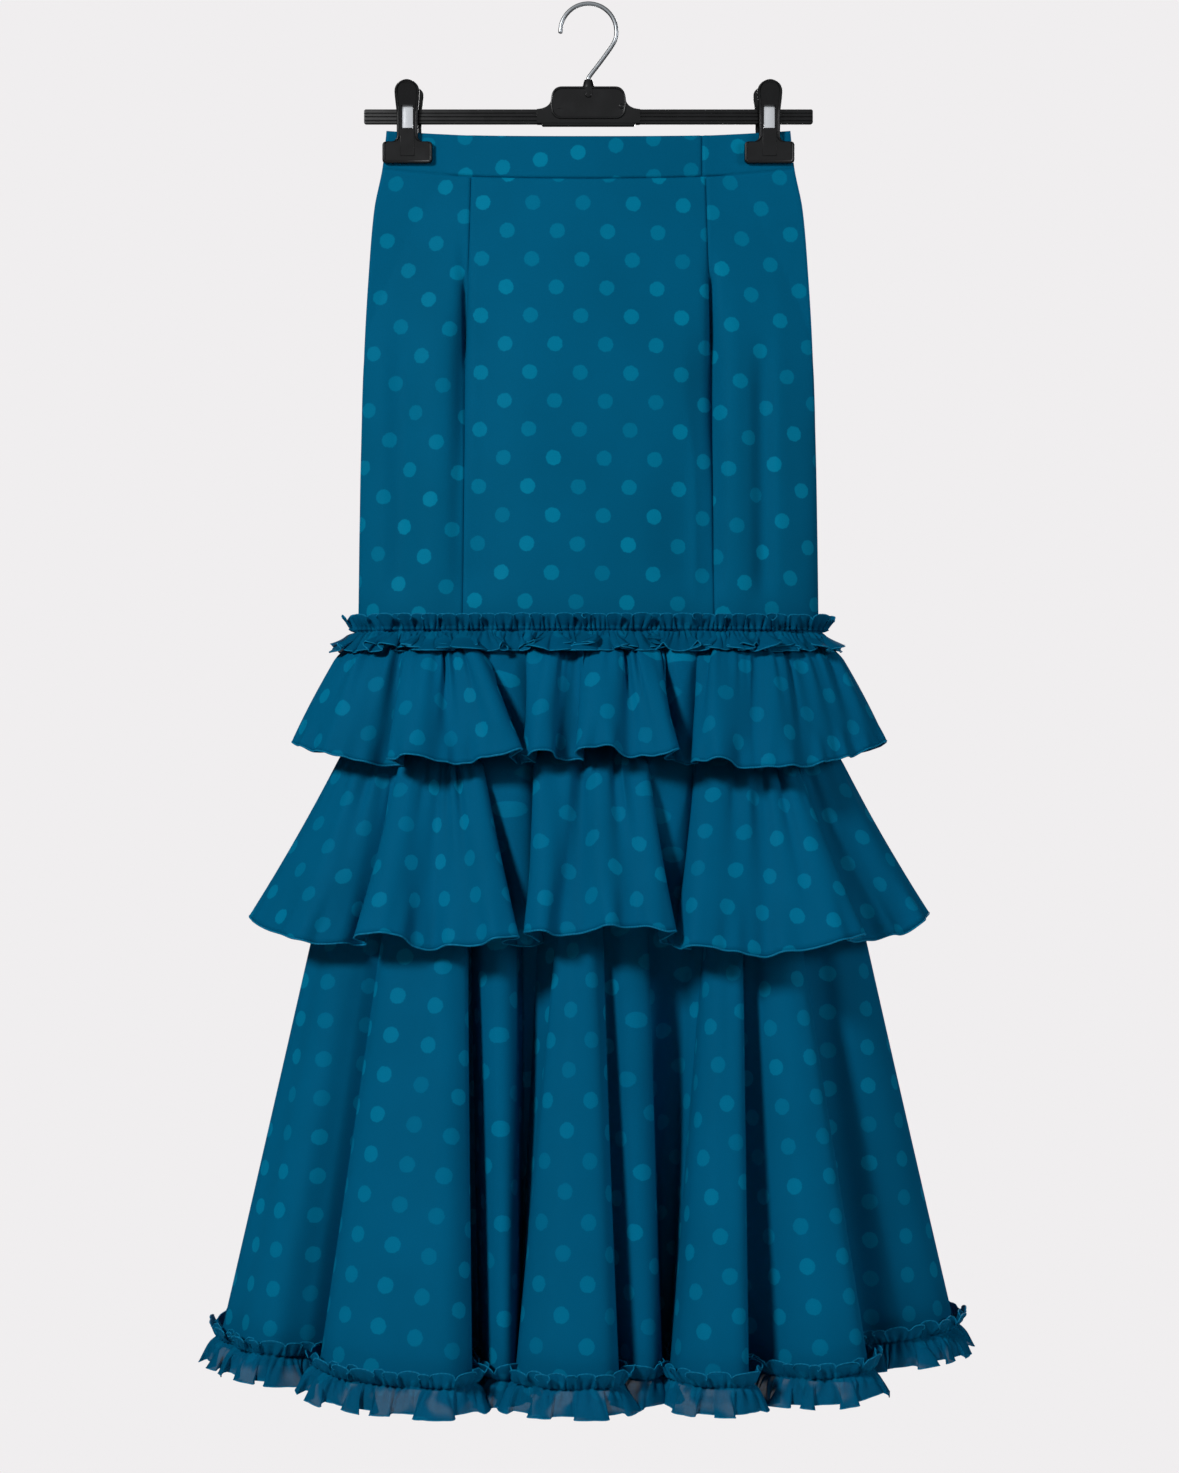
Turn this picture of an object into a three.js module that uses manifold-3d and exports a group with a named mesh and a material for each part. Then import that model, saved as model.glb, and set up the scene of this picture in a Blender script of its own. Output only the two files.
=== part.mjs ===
// A tiered flamenco skirt clamped on a clip hanger.
// Millimetres, +Z up, +X to the wearer's left as seen from the front, which faces -Y.
// The origin is the inner top of the hanger's hook, where a rail carries it.
import * as THREE from 'three';
import { mergeVertices } from 'three/addons/utils/BufferGeometryUtils.js';
import ManifoldModule from 'manifold-3d';

const wasm = await ManifoldModule();
wasm.setup();

// ---------------------------------------------------------------- driving dimensions
const CLOTH_WALL = 1.2;        // panels and flounces
const TRIM_WALL = 1.0;         // the two frilled trims
const SEAM_GAP = 0.3;          // air left between pieces that are sewn or that touch

// Middle of a flounce's top edge, outside the middle of the panels
const FLOUNCE_LIFT = CLOTH_WALL + SEAM_GAP + 0.15;
const WAIST = { topSide: -106.4, topCentre: -112.4, seamSide: -138.7, seamCentre: -148.9, joinX: 96.5 };
const BODY_END = -621;         // lower edge of the close-fitting part
const HEADING = {
  top: -517, gather: -533, bottom: -547.5, steps: 2, slack: 1,
  upper: { depth: 5.5, columns: 4 }, lower: { depth: 4.5, columns: 7 },
};
const HEM_TRIM = {
  top: -1120, gather: -1133.5, bottom: -1156, steps: 3, slack: 0.2,
  upperBox: 3, lowerBox: 5,
};

const BAR = { halfLength: 190.6, top: -88.6, bottom: -100.5, halfThick: 2.5 };
const GROOVE = { depth: 0.7, mouth: 3.4, floor: 2.8 };
const BLOCK = { halfTop: 22.5, half: 31.9, top: -69.4, shoulder: 43.8, flare: 2, rise: 7, halfThick: 4 };
const COVER = { bottom: -97, corner: 10, round: 5, drop: 0.6, halfThick: 5 };
const LIP = { half: 40, bottom: -102.2, halfThick: 3.4 };
const NUB = { baseRadius: 5.1, topRadius: 3.2, top: -62.8, sunk: 2 };
const HOOK = { wire: 3.7, bend: 23.8, tip: 182, turnEnd: -16, sides: 8, steps: 24 };
const HOOK_SWEEP = [[19.4, -35], [13.4, -43.5], [7.4, -51.5], [2, -58.4]];   // x and z of the wire's middle
const HOOK_FOOT_RISE = 0.9;    // the wire meets the nub aslant, so its middle ends this much higher
const CLIP = { x: 153.6, top: -65.6, stemHalf: 9, headHalf: 10.6, headRound: 8, neck: 24, backShift: 3 };
const CLIP_FOOT = { half: 21.2, top: -116.6, bottom: -134.5, round: 2.6, fillet: 5, chamfer: 1.2 };
const CLIP_LEAN = { head: 6.5, wall: 2.9, foot: 6.2 };    // how a jaw stands out, seen from the side
const CLIP_WINDOW = { half: 5.2, top: -86, bottom: -105.5 };
const SPRING = { half: 4.6, inner: 2.8, thick: 0.9, top: -84.6, bottom: -104.5 };

// Names the columns of a short table, so that every row reads as an object
function table(columns, rows) {
  return rows.map((row) => Object.fromEntries(columns.map((name, i) => [name, row[i]])));
}

// Level sections of the close-fitting part. halfWidth is measured side to side. The walls lie flat on each
// other at lip from the middle plane, and stand out by bulge over the middle, which is open as far as the
// share called open. power shapes that curve: 0.5 is an ellipse
const BODY = table(['z', 'halfWidth', 'bulge', 'open', 'power', 'lip', 'princess'], [
  [-100, 171, 6, 0.7, 1.5, 0.75, 99],
  [-139, 175.2, 9, 0.71, 1.4, 0.75, 99.5],
  [-173, 182, 12, 0.78, 1.2, 0.75, 100.2],
  [-232, 187, 17, 0.9, 0.95, 0.75, 101.6],
  [-292, 190.4, 23, 1, 0.75, 0.65, 104],
  [-377, 193, 31, 1, 0.6, 0.5, 104.6],
  [-515, 195, 44, 1, 0.5, 0.35, 105.2],
  [-621, 195.5, 50, 1, 0.5, 0.32, 105.4],
]);

// Soft hollows that run down the panels. side is 1 in front and -1 behind, left and right are the widths
// of the two slopes, and the hollow grows from the height called from to full
const HOLLOWS = table(['side', 'x', 'left', 'right', 'depth', 'from', 'full'], [
  [1, -160, 17, 20, 4, -250, -330],
  [1, -105, 18, 34, 7, -250, -330],
  [1, 78, 36, 24, 5, -330, -420],
  [1, 104, 26, 14, 7, -250, -330],
  [1, 147, 13, 14, 6, -270, -340],
  [-1, -150, 18, 16, 5, -260, -340],
  [-1, -104, 16, 30, 6, -250, -330],
  [-1, -46, 22, 26, 4, -340, -430],
  [-1, 62, 28, 22, 5, -320, -410],
  [-1, 105, 30, 15, 6, -250, -330],
]);
const HOLLOW_END = { from: -480, gone: -514 };

// Each flounce hangs from its seam in folds, a row for each crest or valley. turn is the place on the seam in
// degrees, 0 at the middle of the front and 90 at the side on +X. x and y are its place on the hem, drop is
// how far the hem hangs below the seam, and round is how far the curve keeps its direction, as a share of
// the next span. bow is how much faster the cloth spreads near the seam, falls are the shares of the drop at
// which the cloth has a row of points, and step is the most that two columns stand apart on the hem
const FOLD_COLUMNS = ['turn', 'x', 'y', 'drop', 'round'];
const FLOUNCE_1 = {
  name: 'flounce_1',
  seamZ: -529.5,
  lift: FLOUNCE_LIFT,
  bow: 0.35,
  falls: [0, 0.16, 0.5, 1],
  step: 19,
  folds: table(FOLD_COLUMNS, [
    [-90, -251, -2, 96, 0.45],
    [-63, -214, -58, 106, 0.33],
    [-48, -155, -74, 115, 0.30],
    [-43, -138, -99, 108, 0.45],
    [-37, -106, -93, 114, 0.33],
    [-32, -69, -101, 104, 0.50],
    [-27.5, -61, -70, 113, 0.30],
    [-20, -53, -80, 113, 0.35],
    [-12.5, -44, -68, 113, 0.30],
    [-9, -37, -98, 103, 0.45],
    [-1.5, -8, -76, 111, 0.30],
    [3, 9, -103, 99, 0.45],
    [9, 46, -97, 109, 0.33],
    [13.5, 64, -102, 102, 0.50],
    [17.5, 71, -70, 112, 0.30],
    [23.5, 80, -82, 113, 0.35],
    [30, 92, -72, 114, 0.30],
    [35.5, 104, -100, 112, 0.45],
    [42.5, 133, -92, 118, 0.33],
    [50, 162, -88, 117, 0.40],
    [61, 200, -58, 112, 0.33],
    [90, 252, -2, 96, 0.45],
    [104, 229, 36, 106, 0.40],
    [113, 190, 56, 113, 0.30],
    [119, 182, 86, 108, 0.45],
    [131, 136, 96, 110, 0.50],
    [137, 127, 68, 113, 0.30],
    [146, 104, 84, 112, 0.38],
    [155, 80, 68, 113, 0.30],
    [160, 70, 100, 104, 0.45],
    [172, 16, 104, 107, 0.50],
    [177, 6, 72, 112, 0.30],
    [184, -14, 84, 112, 0.38],
    [191, -36, 69, 113, 0.30],
    [196, -46, 100, 104, 0.45],
    [208, -98, 101, 107, 0.50],
    [214, -108, 70, 113, 0.30],
    [223, -134, 84, 112, 0.38],
    [232, -158, 62, 113, 0.30],
    [239, -172, 86, 109, 0.45],
    [256, -226, 42, 106, 0.40],
  ]),
};
const FLOUNCE_2 = {
  name: 'flounce_2',
  seamZ: -613,
  lift: FLOUNCE_LIFT,
  bow: 0.05,
  falls: [0, 0.2, 0.45, 0.72, 1],
  step: 22,
  folds: table(FOLD_COLUMNS, [
    [-90, -287, -2, 160, 0.45],
    [-64, -240, -62, 176, 0.33],
    [-50, -186, -80, 177, 0.30],
    [-45, -170, -116, 166, 0.45],
    [-38, -129, -112, 180, 0.33],
    [-32.5, -72, -126, 170, 0.50],
    [-28, -62, -88, 180, 0.30],
    [-20, -49, -97, 178, 0.35],
    [-12.5, -37, -86, 178, 0.30],
    [-7, -25, -130, 160, 0.45],
    [2, 14, -124, 166, 0.33],
    [8, 50, -130, 160, 0.50],
    [12, 58, -88, 177, 0.30],
    [19.5, 68, -98, 178, 0.35],
    [29, 84, -86, 181, 0.30],
    [34, 96, -126, 176, 0.45],
    [44, 142, -122, 183, 0.33],
    [53, 202, -108, 171, 0.50],
    [58, 216, -66, 178, 0.30],
    [68, 254, -44, 174, 0.38],
    [90, 289, -2, 158, 0.45],
    [102, 258, 40, 171, 0.40],
    [112, 212, 68, 179, 0.30],
    [118, 206, 104, 172, 0.45],
    [130, 146, 118, 175, 0.50],
    [136, 134, 84, 180, 0.30],
    [146, 108, 98, 178, 0.38],
    [155, 86, 84, 180, 0.30],
    [160, 76, 126, 168, 0.45],
    [172, 14, 130, 169, 0.50],
    [177, 4, 88, 180, 0.30],
    [184, -16, 98, 178, 0.38],
    [191, -38, 86, 180, 0.30],
    [196, -48, 126, 168, 0.45],
    [208, -110, 122, 171, 0.50],
    [214, -120, 84, 180, 0.30],
    [223, -146, 98, 178, 0.38],
    [232, -170, 78, 180, 0.30],
    [239, -192, 104, 172, 0.45],
    [255, -258, 52, 171, 0.40],
  ]),
};
const FLOUNCE_3 = {
  name: 'flounce_3',
  seamZ: BODY_END - 1.5 * SEAM_GAP,
  lift: 0,
  bow: -0.22,
  falls: [0, 0.22, 0.48, 0.74, 1],
  step: 24,
  folds: table(FOLD_COLUMNS, [
    [-90, -311, -2, 509, 0.45],
    [-66, -272, -60, 514, 0.38],
    [-54, -226, -76, 516, 0.30],
    [-49, -209, -122, 516, 0.45],
    [-33, -112, -144, 516, 0.44],
    [-29, -96, -92, 516, 0.34],
    [-22, -75, -113, 516, 0.42],
    [-13, -56, -92, 516, 0.30],
    [-7, -44, -144, 516, 0.45],
    [0.5, 10, -150, 516, 0.48],
    [3.5, 24, -104, 516, 0.30],
    [9, 46, -125, 516, 0.42],
    [17, 68, -92, 516, 0.30],
    [25, 80, -141, 516, 0.45],
    [36, 118, -146, 516, 0.35],
    [40, 142, -126, 516, 0.35],
    [44.5, 174, -142, 516, 0.40],
    [50, 213, -120, 516, 0.45],
    [55, 228, -76, 516, 0.30],
    [66, 272, -58, 514, 0.38],
    [90, 312, -2, 508, 0.45],
    [101, 286, 48, 512, 0.40],
    [110, 238, 74, 516, 0.30],
    [117, 226, 120, 516, 0.45],
    [130, 148, 140, 516, 0.50],
    [136, 134, 94, 516, 0.30],
    [146, 108, 114, 516, 0.42],
    [155, 84, 93, 516, 0.30],
    [161, 72, 142, 516, 0.45],
    [172, 6, 149, 516, 0.50],
    [177, -6, 96, 516, 0.30],
    [184, -28, 116, 516, 0.42],
    [191, -50, 94, 516, 0.30],
    [197, -64, 144, 516, 0.45],
    [209, -136, 140, 516, 0.50],
    [215, -148, 92, 516, 0.30],
    [224, -174, 112, 516, 0.42],
    [232, -198, 86, 516, 0.30],
    [239, -222, 116, 516, 0.45],
    [255, -286, 58, 513, 0.40],
  ]),
};

const WEAVE = { color: 0x0a5f86, roughness: 0.78, metalness: 0 };
const CHIFFON = { color: 0x0b6690, roughness: 0.72, metalness: 0 };
const BLACK_PLASTIC = { color: 0x161618, roughness: 0.38, metalness: 0 };
const CHROME = { color: 0xc9ccd0, roughness: 0.16, metalness: 1 };

// ---------------------------------------------------------------- small tools
const mix = (a, b, t) => a + (b - a) * t;
const range = (count) => Array.from({ length: count }, (_, i) => i);
const radians = THREE.MathUtils.degToRad;
const smooth = (from, to, value) => {
  const t = THREE.MathUtils.clamp((value - from) / (to - from), 0, 1);
  return t * t * (3 - 2 * t);
};

// A smooth curve through one column of a table that runs down in z
function readDown(rows, column, z) {
  const last = rows.length - 2;
  const below = rows.findIndex((row) => row.z < z);
  const at = below < 0 ? last : Math.max(below - 1, 0);
  const slope = (k) => {
    const high = rows[Math.max(k - 1, 0)];
    const low = rows[Math.min(k + 1, last + 1)];
    return (low[column] - high[column]) / (low.z - high.z);
  };
  const span = rows[at + 1].z - rows[at].z;
  const t = THREE.MathUtils.clamp((z - rows[at].z) / span, 0, 1);
  const bendStart = slope(at) * span * t * (1 - t) * (1 - t);
  const bendEnd = slope(at + 1) * span * t * t * (t - 1);
  return mix(rows[at][column], rows[at + 1][column], t * t * (3 - 2 * t)) + bendStart + bendEnd;
}

function addPiece(group, name, geometry, finish) {
  geometry.computeVertexNormals();
  const piece = new THREE.Mesh(geometry, new THREE.MeshStandardMaterial(finish));
  piece.name = name;
  group.add(piece);
  return piece;
}

// ---------------------------------------------------------------- cloth
// Gives a grid of points on the middle of a cloth, rows running down and columns running round in the
// direction of growing turn, its two faces and its raw edges. past may name, for each row, the points just
// past its two ends, so that the cloth stands square to the same curve as its neighbour
function clothWall(rows, wall, past = []) {
  const height = rows.length;
  const width = rows[0].length;
  const outer = [];
  const inner = [];
  rows.forEach((row, r) => row.forEach((point, c) => {
    const above = rows[Math.max(r - 1, 0)][c];
    const below = rows[Math.min(r + 1, height - 1)][c];
    const [pastStart, pastEnd] = past[r] ?? [];
    const before = row[c - 1] ?? pastStart;
    const after = row[c + 1] ?? pastEnd;
    const down = below.clone().sub(above);
    const sides = [[before, point], [point, after]]
      .filter(([from, to]) => from && to)
      .map(([from, to]) => down.clone().cross(to.clone().sub(from)).normalize());
    const first = sides[0];
    const second = sides[sides.length - 1];
    const square = Math.max(1 + first.dot(second), 0.9);
    const offset = first.clone().add(second).multiplyScalar(wall / 2 / square);
    outer.push(point.clone().add(offset));
    inner.push(point.clone().sub(offset));
  }));
  const faces = [];
  const quad = (a, b, c, d) => faces.push(a, b, c, a, c, d);
  const shift = outer.length;
  for (const r of range(height - 1)) {
    for (const c of range(width - 1)) {
      const here = r * width + c;
      const next = here + 1;
      quad(here, here + width, next + width, next);
      quad(shift + here, shift + next, shift + next + width, shift + here + width);
    }
  }
  for (const c of range(width - 1)) {
    const next = c + 1;
    const foot = (height - 1) * width;
    quad(c, next, shift + next, shift + c);
    quad(foot + c, shift + foot + c, shift + foot + next, foot + next);
  }
  for (const r of range(height - 1)) {
    const left = r * width;
    const right = left + width - 1;
    quad(left, shift + left, shift + left + width, left + width);
    quad(right, right + width, shift + right + width, shift + right);
  }
  const geometry = new THREE.BufferGeometry().setFromPoints([...outer, ...inner]);
  geometry.setIndex(faces);
  return geometry;
}

const halfAt = (z) => readDown(BODY, 'halfWidth', z);
const princessAt = (z) => readDown(BODY, 'princess', z);
const clear = SEAM_GAP / 2;

// How deep the panels are drawn in at a place by the deepest hollow there
function hollowAt(side, x, z) {
  const kept = 1 - smooth(HOLLOW_END.from, HOLLOW_END.gone, z);
  const depths = HOLLOWS.filter((row) => row.side === side).map((row) => {
    const away = x < row.x ? (row.x - x) / row.left : (x - row.x) / row.right;
    const shape = away < 1 ? 0.5 + 0.5 * Math.cos(Math.PI * away) : 0;
    return row.depth * shape * smooth(row.from, row.full, z);
  });
  return kept * Math.max(0, ...depths);
}

// The middle of the close-fitting cloth, on its front when side is 1 and on its back when side is -1
function bodyMiddle(turn, z, side = Math.cos(radians(turn)) < 0 ? -1 : 1) {
  const across = Math.sin(radians(turn));
  const x = halfAt(z) * across;
  const share = Math.max(0, 1 - (across / readDown(BODY, 'open', z)) ** 2);
  const stand = readDown(BODY, 'bulge', z) * share ** readDown(BODY, 'power', z);
  const y = readDown(BODY, 'lip', z) + Math.max(0, stand - hollowAt(side, x, z));
  return new THREE.Vector3(x, -side * y, z);
}

// A point at a level distance outside a closed level curve
function liftFrom(curve, turn, lift) {
  const reach = 0.5;
  const along = curve(turn + reach).sub(curve(turn - reach));
  const outward = new THREE.Vector3(along.y, -along.x, 0).normalize();
  return curve(turn).addScaledVector(outward, lift);
}

function bodyPoint(turn, z, lift) {
  return liftFrom((at) => bodyMiddle(at, z), turn, lift);
}

// Turn of a place that lies x from the middle, in front or behind
function turnAt(x, z, side = 1) {
  const share = THREE.MathUtils.clamp(x / halfAt(z), -1, 1);
  const turn = THREE.MathUtils.radToDeg(Math.asin(share));
  return side > 0 ? turn : 180 - turn;
}

// The waistband's edges dip from the sides to the middle
const dip = (centre, side) => (x) => mix(centre, side, Math.min(1, x / halfAt(centre)) ** 2);
const waistTop = dip(WAIST.topCentre, WAIST.topSide);
const waistSeam = dip(WAIST.seamCentre, WAIST.seamSide);

// A panel between two upright seams. fromX and toX give each seam's x at a height, and levels are the
// shares of the way down at which the panel has a row of points
function panel(side, fromX, toX, topOf, bottomOf, levels, columns) {
  const pointAt = (level, share) => {
    const guess = mix(WAIST.topCentre, BODY_END, level);
    const place = (z) => mix(turnAt(fromX(z), z, side), turnAt(toX(z), z, side), share);
    const x = Math.abs(bodyMiddle(place(guess), guess, side).x);
    const z = mix(topOf(x), bottomOf(x), level);
    return bodyMiddle(place(z), z, side);
  };
  const atSide = (xOf) => Math.abs(xOf(BODY_END)) === halfAt(BODY_END);
  const beyond = 1 / columns;
  const rows = levels.map((level) => range(columns + 1).map((c) => pointAt(level, c / columns)));
  const past = levels.map((level) => [
    atSide(fromX) ? undefined : pointAt(level, -beyond),
    atSide(toX) ? undefined : pointAt(level, 1 + beyond),
  ]);
  return clothWall(rows, CLOTH_WALL, past);
}

function addWaistband(group) {
  const bottom = (x) => waistSeam(x) + clear;
  const levels = [0, 0.5, 1];
  const left = panel(1, (z) => -halfAt(z), () => WAIST.joinX - clear, waistTop, bottom, levels, 14);
  const right = panel(1, () => WAIST.joinX + clear, halfAt, waistTop, bottom, levels, 5);
  const back = panel(-1, halfAt, (z) => -halfAt(z), waistTop, bottom, levels, 18);
  addPiece(group, 'waistband_front_left', left, WEAVE);
  addPiece(group, 'waistband_front_right', right, WEAVE);
  addPiece(group, 'waistband_back', back, WEAVE);
}

function addBodyPanels(group) {
  const top = (x) => waistSeam(x) - clear;
  const bottom = () => BODY_END;
  const levels = [0, 0.1, 0.24, 0.34, 0.46, 0.6, 0.74, 0.8, 1];
  const seams = [
    ['panel_side_front_left', 1, (z) => -halfAt(z), (z) => -princessAt(z) - clear, 9],
    ['panel_centre_front', 1, (z) => -princessAt(z) + clear, (z) => princessAt(z) - clear, 14],
    ['panel_side_front_right', 1, (z) => princessAt(z) + clear, halfAt, 9],
    ['panel_side_back_right', -1, halfAt, (z) => princessAt(z) + clear, 9],
    ['panel_centre_back_right', -1, (z) => princessAt(z) - clear, () => clear, 6],
    ['panel_centre_back_left', -1, () => -clear, (z) => -princessAt(z) + clear, 6],
    ['panel_side_back_left', -1, (z) => -princessAt(z) - clear, (z) => -halfAt(z), 9],
  ];
  for (const [name, side, from, to, columns] of seams) {
    addPiece(group, name, panel(side, from, to, top, bottom, levels, columns), WEAVE);
  }
}

// ---------------------------------------------------------------- flounces
// The fold rows on both sides of a turn, and the share of the way between them
function foldSpan(folds, turn) {
  const first = folds[0].turn;
  const around = first + (((turn - first) % 360) + 360) % 360;
  const next = folds.findIndex((row) => row.turn > around);
  const to = next < 0 ? folds.length : next;
  const end = to === folds.length ? folds[0].turn + 360 : folds[to].turn;
  const start = folds[to - 1].turn;
  return { at: to - 1, share: (around - start) / (end - start) };
}

// The place and the drop of the hem at a turn, on a smooth curve through the fold rows
function hemAt(folds, turn) {
  const { at, share } = foldSpan(folds, turn);
  const row = (k) => folds[(k + folds.length) % folds.length];
  const place = (k) => new THREE.Vector2(row(k).x, row(k).y);
  const heading = (k) => place(k + 1).sub(place(k - 1)).normalize();
  const chord = place(at).distanceTo(place(at + 1));
  const leave = place(at).addScaledVector(heading(at), row(at).round * chord);
  const arrive = place(at + 1).addScaledVector(heading(at + 1), -row(at + 1).round * chord);
  const spot = new THREE.CubicBezierCurve(place(at), leave, arrive, place(at + 1)).getPoint(share);
  return { x: spot.x, y: spot.y, drop: mix(row(at).drop, row(at + 1).drop, smooth(0, 1, share)) };
}

// A point on the middle of a flounce, at a turn and a share of the way down
function flouncePoint(flounce, turn, fall) {
  const seam = bodyPoint(turn, flounce.seamZ, flounce.lift);
  const hem = hemAt(flounce.folds, turn);
  const spread = fall * (1 + flounce.bow * (1 - fall));
  const z = flounce.seamZ - hem.drop * fall;
  return new THREE.Vector3(mix(seam.x, hem.x, spread), mix(seam.y, hem.y, spread), z);
}

// The turns of a flounce's columns: every fold row, and as many steps between two rows as the span needs
function flounceTurns({ folds, step }) {
  return folds.flatMap((row, i) => {
    const next = folds[(i + 1) % folds.length];
    const end = i + 1 < folds.length ? next.turn : next.turn + 360;
    const steps = Math.max(2, Math.ceil(Math.hypot(next.x - row.x, next.y - row.y) / step));
    return range(steps).map((k) => mix(row.turn, end, k / steps));
  });
}

// A ring of cloth sewn together at the two side seams, from rows whose first column is on the left seam.
// The right seam's column is the one that ends the front
function addRing(group, name, rows, rightSeam, wall, finish) {
  const width = rows[0].length;
  const inset = (end, next) => end.clone().lerp(next, clear / end.distanceTo(next));
  const cut = (from, to) => {
    const columns = range(to - from + 1).map((i) => from + i);
    const at = (row, c) => row[(c + width) % width];
    const open = rows.map((row) => columns.map((c) => at(row, c)));
    const past = rows.map((row) => [at(row, from - 1), at(row, to + 1)]);
    for (const row of open) {
      row[0] = inset(row[0], row[1]);
      row[row.length - 1] = inset(row[row.length - 1], row[row.length - 2]);
    }
    return clothWall(open, wall, past);
  };
  addPiece(group, `${name}_front`, cut(0, rightSeam), finish);
  addPiece(group, `${name}_back`, cut(rightSeam, width), finish);
}

function addFlounce(group, flounce) {
  const turns = flounceTurns(flounce);
  const rows = flounce.falls.map((fall) => turns.map((turn) => flouncePoint(flounce, turn, fall)));
  const rightSeam = turns.indexOf(90);
  addRing(group, flounce.name, rows, rightSeam, CLOTH_WALL, CHIFFON);
  return { turns, rows, rightSeam };
}

// ---------------------------------------------------------------- frilled trims
// The level ring at which the middle of a flounce's wall passes a height, a point for each column
function ringAt({ rows }, z) {
  return rows[0].map((_, c) => {
    const below = rows.findIndex((row) => row[c].z < z);
    const to = THREE.MathUtils.clamp(below < 0 ? rows.length - 1 : below, 1, rows.length - 1);
    const [high, low] = [rows[to - 1][c], rows[to][c]];
    return high.clone().lerp(low, (high.z - z) / (high.z - low.z));
  });
}

// The same ring with each span cut into equal steps
function divideRing(ring, steps) {
  return ring.flatMap((point, i) => {
    const next = ring[(i + 1) % ring.length];
    return range(steps).map((k) => point.clone().lerp(next, k / steps));
  });
}

// The ring moved out, square to its spans, by a lift of its own at each point
function liftRing(ring, liftAt) {
  const count = ring.length;
  const outward = (from, to) => new THREE.Vector3(to.y - from.y, from.x - to.x, 0).normalize();
  return ring.map((point, i) => {
    const first = outward(ring[(i + count - 1) % count], point);
    const second = outward(point, ring[(i + 1) % count]);
    const square = Math.max(1 + first.dot(second), 0.6);
    return point.clone().addScaledVector(first.add(second), liftAt(i) / square);
  });
}

const trimLift = CLOTH_WALL / 2 + SEAM_GAP + TRIM_WALL / 2;

// The heading is gathered along its middle over the first flounce's seam, and frills up and down
function addHeading(group, flounce) {
  const { steps } = HEADING;
  const wave = ({ depth, columns }, i) => depth * (0.5 + 0.5 * Math.sin(2 * Math.PI * i / columns));
  const ring = (z) => divideRing(ringAt(flounce, z), steps);
  const body = divideRing(flounce.turns.map((turn) => bodyPoint(turn, HEADING.top, 0)), steps);
  const lift = trimLift + HEADING.slack;
  const upper = liftRing(body, (i) => lift + wave(HEADING.upper, i));
  const gather = liftRing(ring(HEADING.gather), () => lift);
  const lower = liftRing(ring(HEADING.bottom), (i) => lift + 0.5 + wave(HEADING.lower, i));
  addRing(group, 'heading_trim', [upper, gather, lower], flounce.rightSeam * steps, TRIM_WALL, CHIFFON);
}

// The hem trim is gathered round the last flounce, just above its raw edge, and hangs below it in boxes
function addHemTrim(group, flounce) {
  const { steps } = HEM_TRIM;
  const ring = (z) => divideRing(ringAt(flounce, z), steps);
  const box = (i) => [0, 1, 1, 0][i % 4];
  const lift = trimLift + HEM_TRIM.slack;
  const loose = lift + 0.6;
  const upper = liftRing(ring(HEM_TRIM.top), (i) => loose + HEM_TRIM.upperBox * box(i + 1));
  const gather = liftRing(ring(HEM_TRIM.gather), () => lift);
  const lower = liftRing(ring(HEM_TRIM.bottom), (i) => loose + HEM_TRIM.lowerBox * box(i));
  addRing(group, 'hem_trim', [upper, gather, lower], flounce.rightSeam * steps, TRIM_WALL, CHIFFON);
}

// ---------------------------------------------------------------- hanger
const toFront = new THREE.Matrix4().makeBasis(
  new THREE.Vector3(1, 0, 0), new THREE.Vector3(0, 0, 1), new THREE.Vector3(0, -1, 0));
const toSide = new THREE.Matrix4().makeBasis(
  new THREE.Vector3(0, 1, 0), new THREE.Vector3(0, 0, 1), new THREE.Vector3(1, 0, 0));

// A front outline in x and z, pushed through from y = from towards the front
function frontSlab(outline, from, thick) {
  const slab = new THREE.ExtrudeGeometry(outline, { depth: thick, bevelEnabled: false, curveSegments: 4 });
  return slab.applyMatrix4(toFront).translate(0, from, 0);
}

// A side outline in y and z, pushed through along x about the middle
function sideSlab(points, half) {
  const outline = new THREE.Shape(points.map(([y, z]) => new THREE.Vector2(y, z)));
  const slab = new THREE.ExtrudeGeometry(outline, { depth: 2 * half, bevelEnabled: false });
  return slab.applyMatrix4(toSide).translate(-half, 0, 0);
}

function toSolid(geometry) {
  geometry.deleteAttribute('normal');
  geometry.deleteAttribute('uv');
  const merged = mergeVertices(geometry);
  return new wasm.Manifold(new wasm.Mesh({
    numProp: 3,
    vertProperties: new Float32Array(merged.attributes.position.array),
    triVerts: new Uint32Array(merged.index.array),
  }));
}

function fromSolid(solid) {
  const mesh = solid.getMesh();
  const geometry = new THREE.BufferGeometry();
  geometry.setAttribute('position', new THREE.BufferAttribute(new Float32Array(mesh.vertProperties), 3));
  geometry.setIndex(new THREE.BufferAttribute(new Uint32Array(mesh.triVerts), 1));
  return geometry;
}

// The block rises from the bar between two swept shoulders
function blockOutline() {
  const { halfTop, half, top, shoulder, flare, rise } = BLOCK;
  const outline = new THREE.Shape().moveTo(-shoulder, BAR.bottom).lineTo(shoulder, BAR.bottom);
  outline.lineTo(shoulder, BAR.top);
  outline.quadraticCurveTo(half + flare, BAR.top + COVER.drop, half, BAR.top + rise);
  outline.quadraticCurveTo(half - 0.4, top, halfTop, top);
  outline.lineTo(-halfTop, top);
  outline.quadraticCurveTo(0.4 - half, top, -half, BAR.top + rise);
  outline.quadraticCurveTo(-half - flare, BAR.top + COVER.drop, -shoulder, BAR.top);
  return outline;
}

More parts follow.
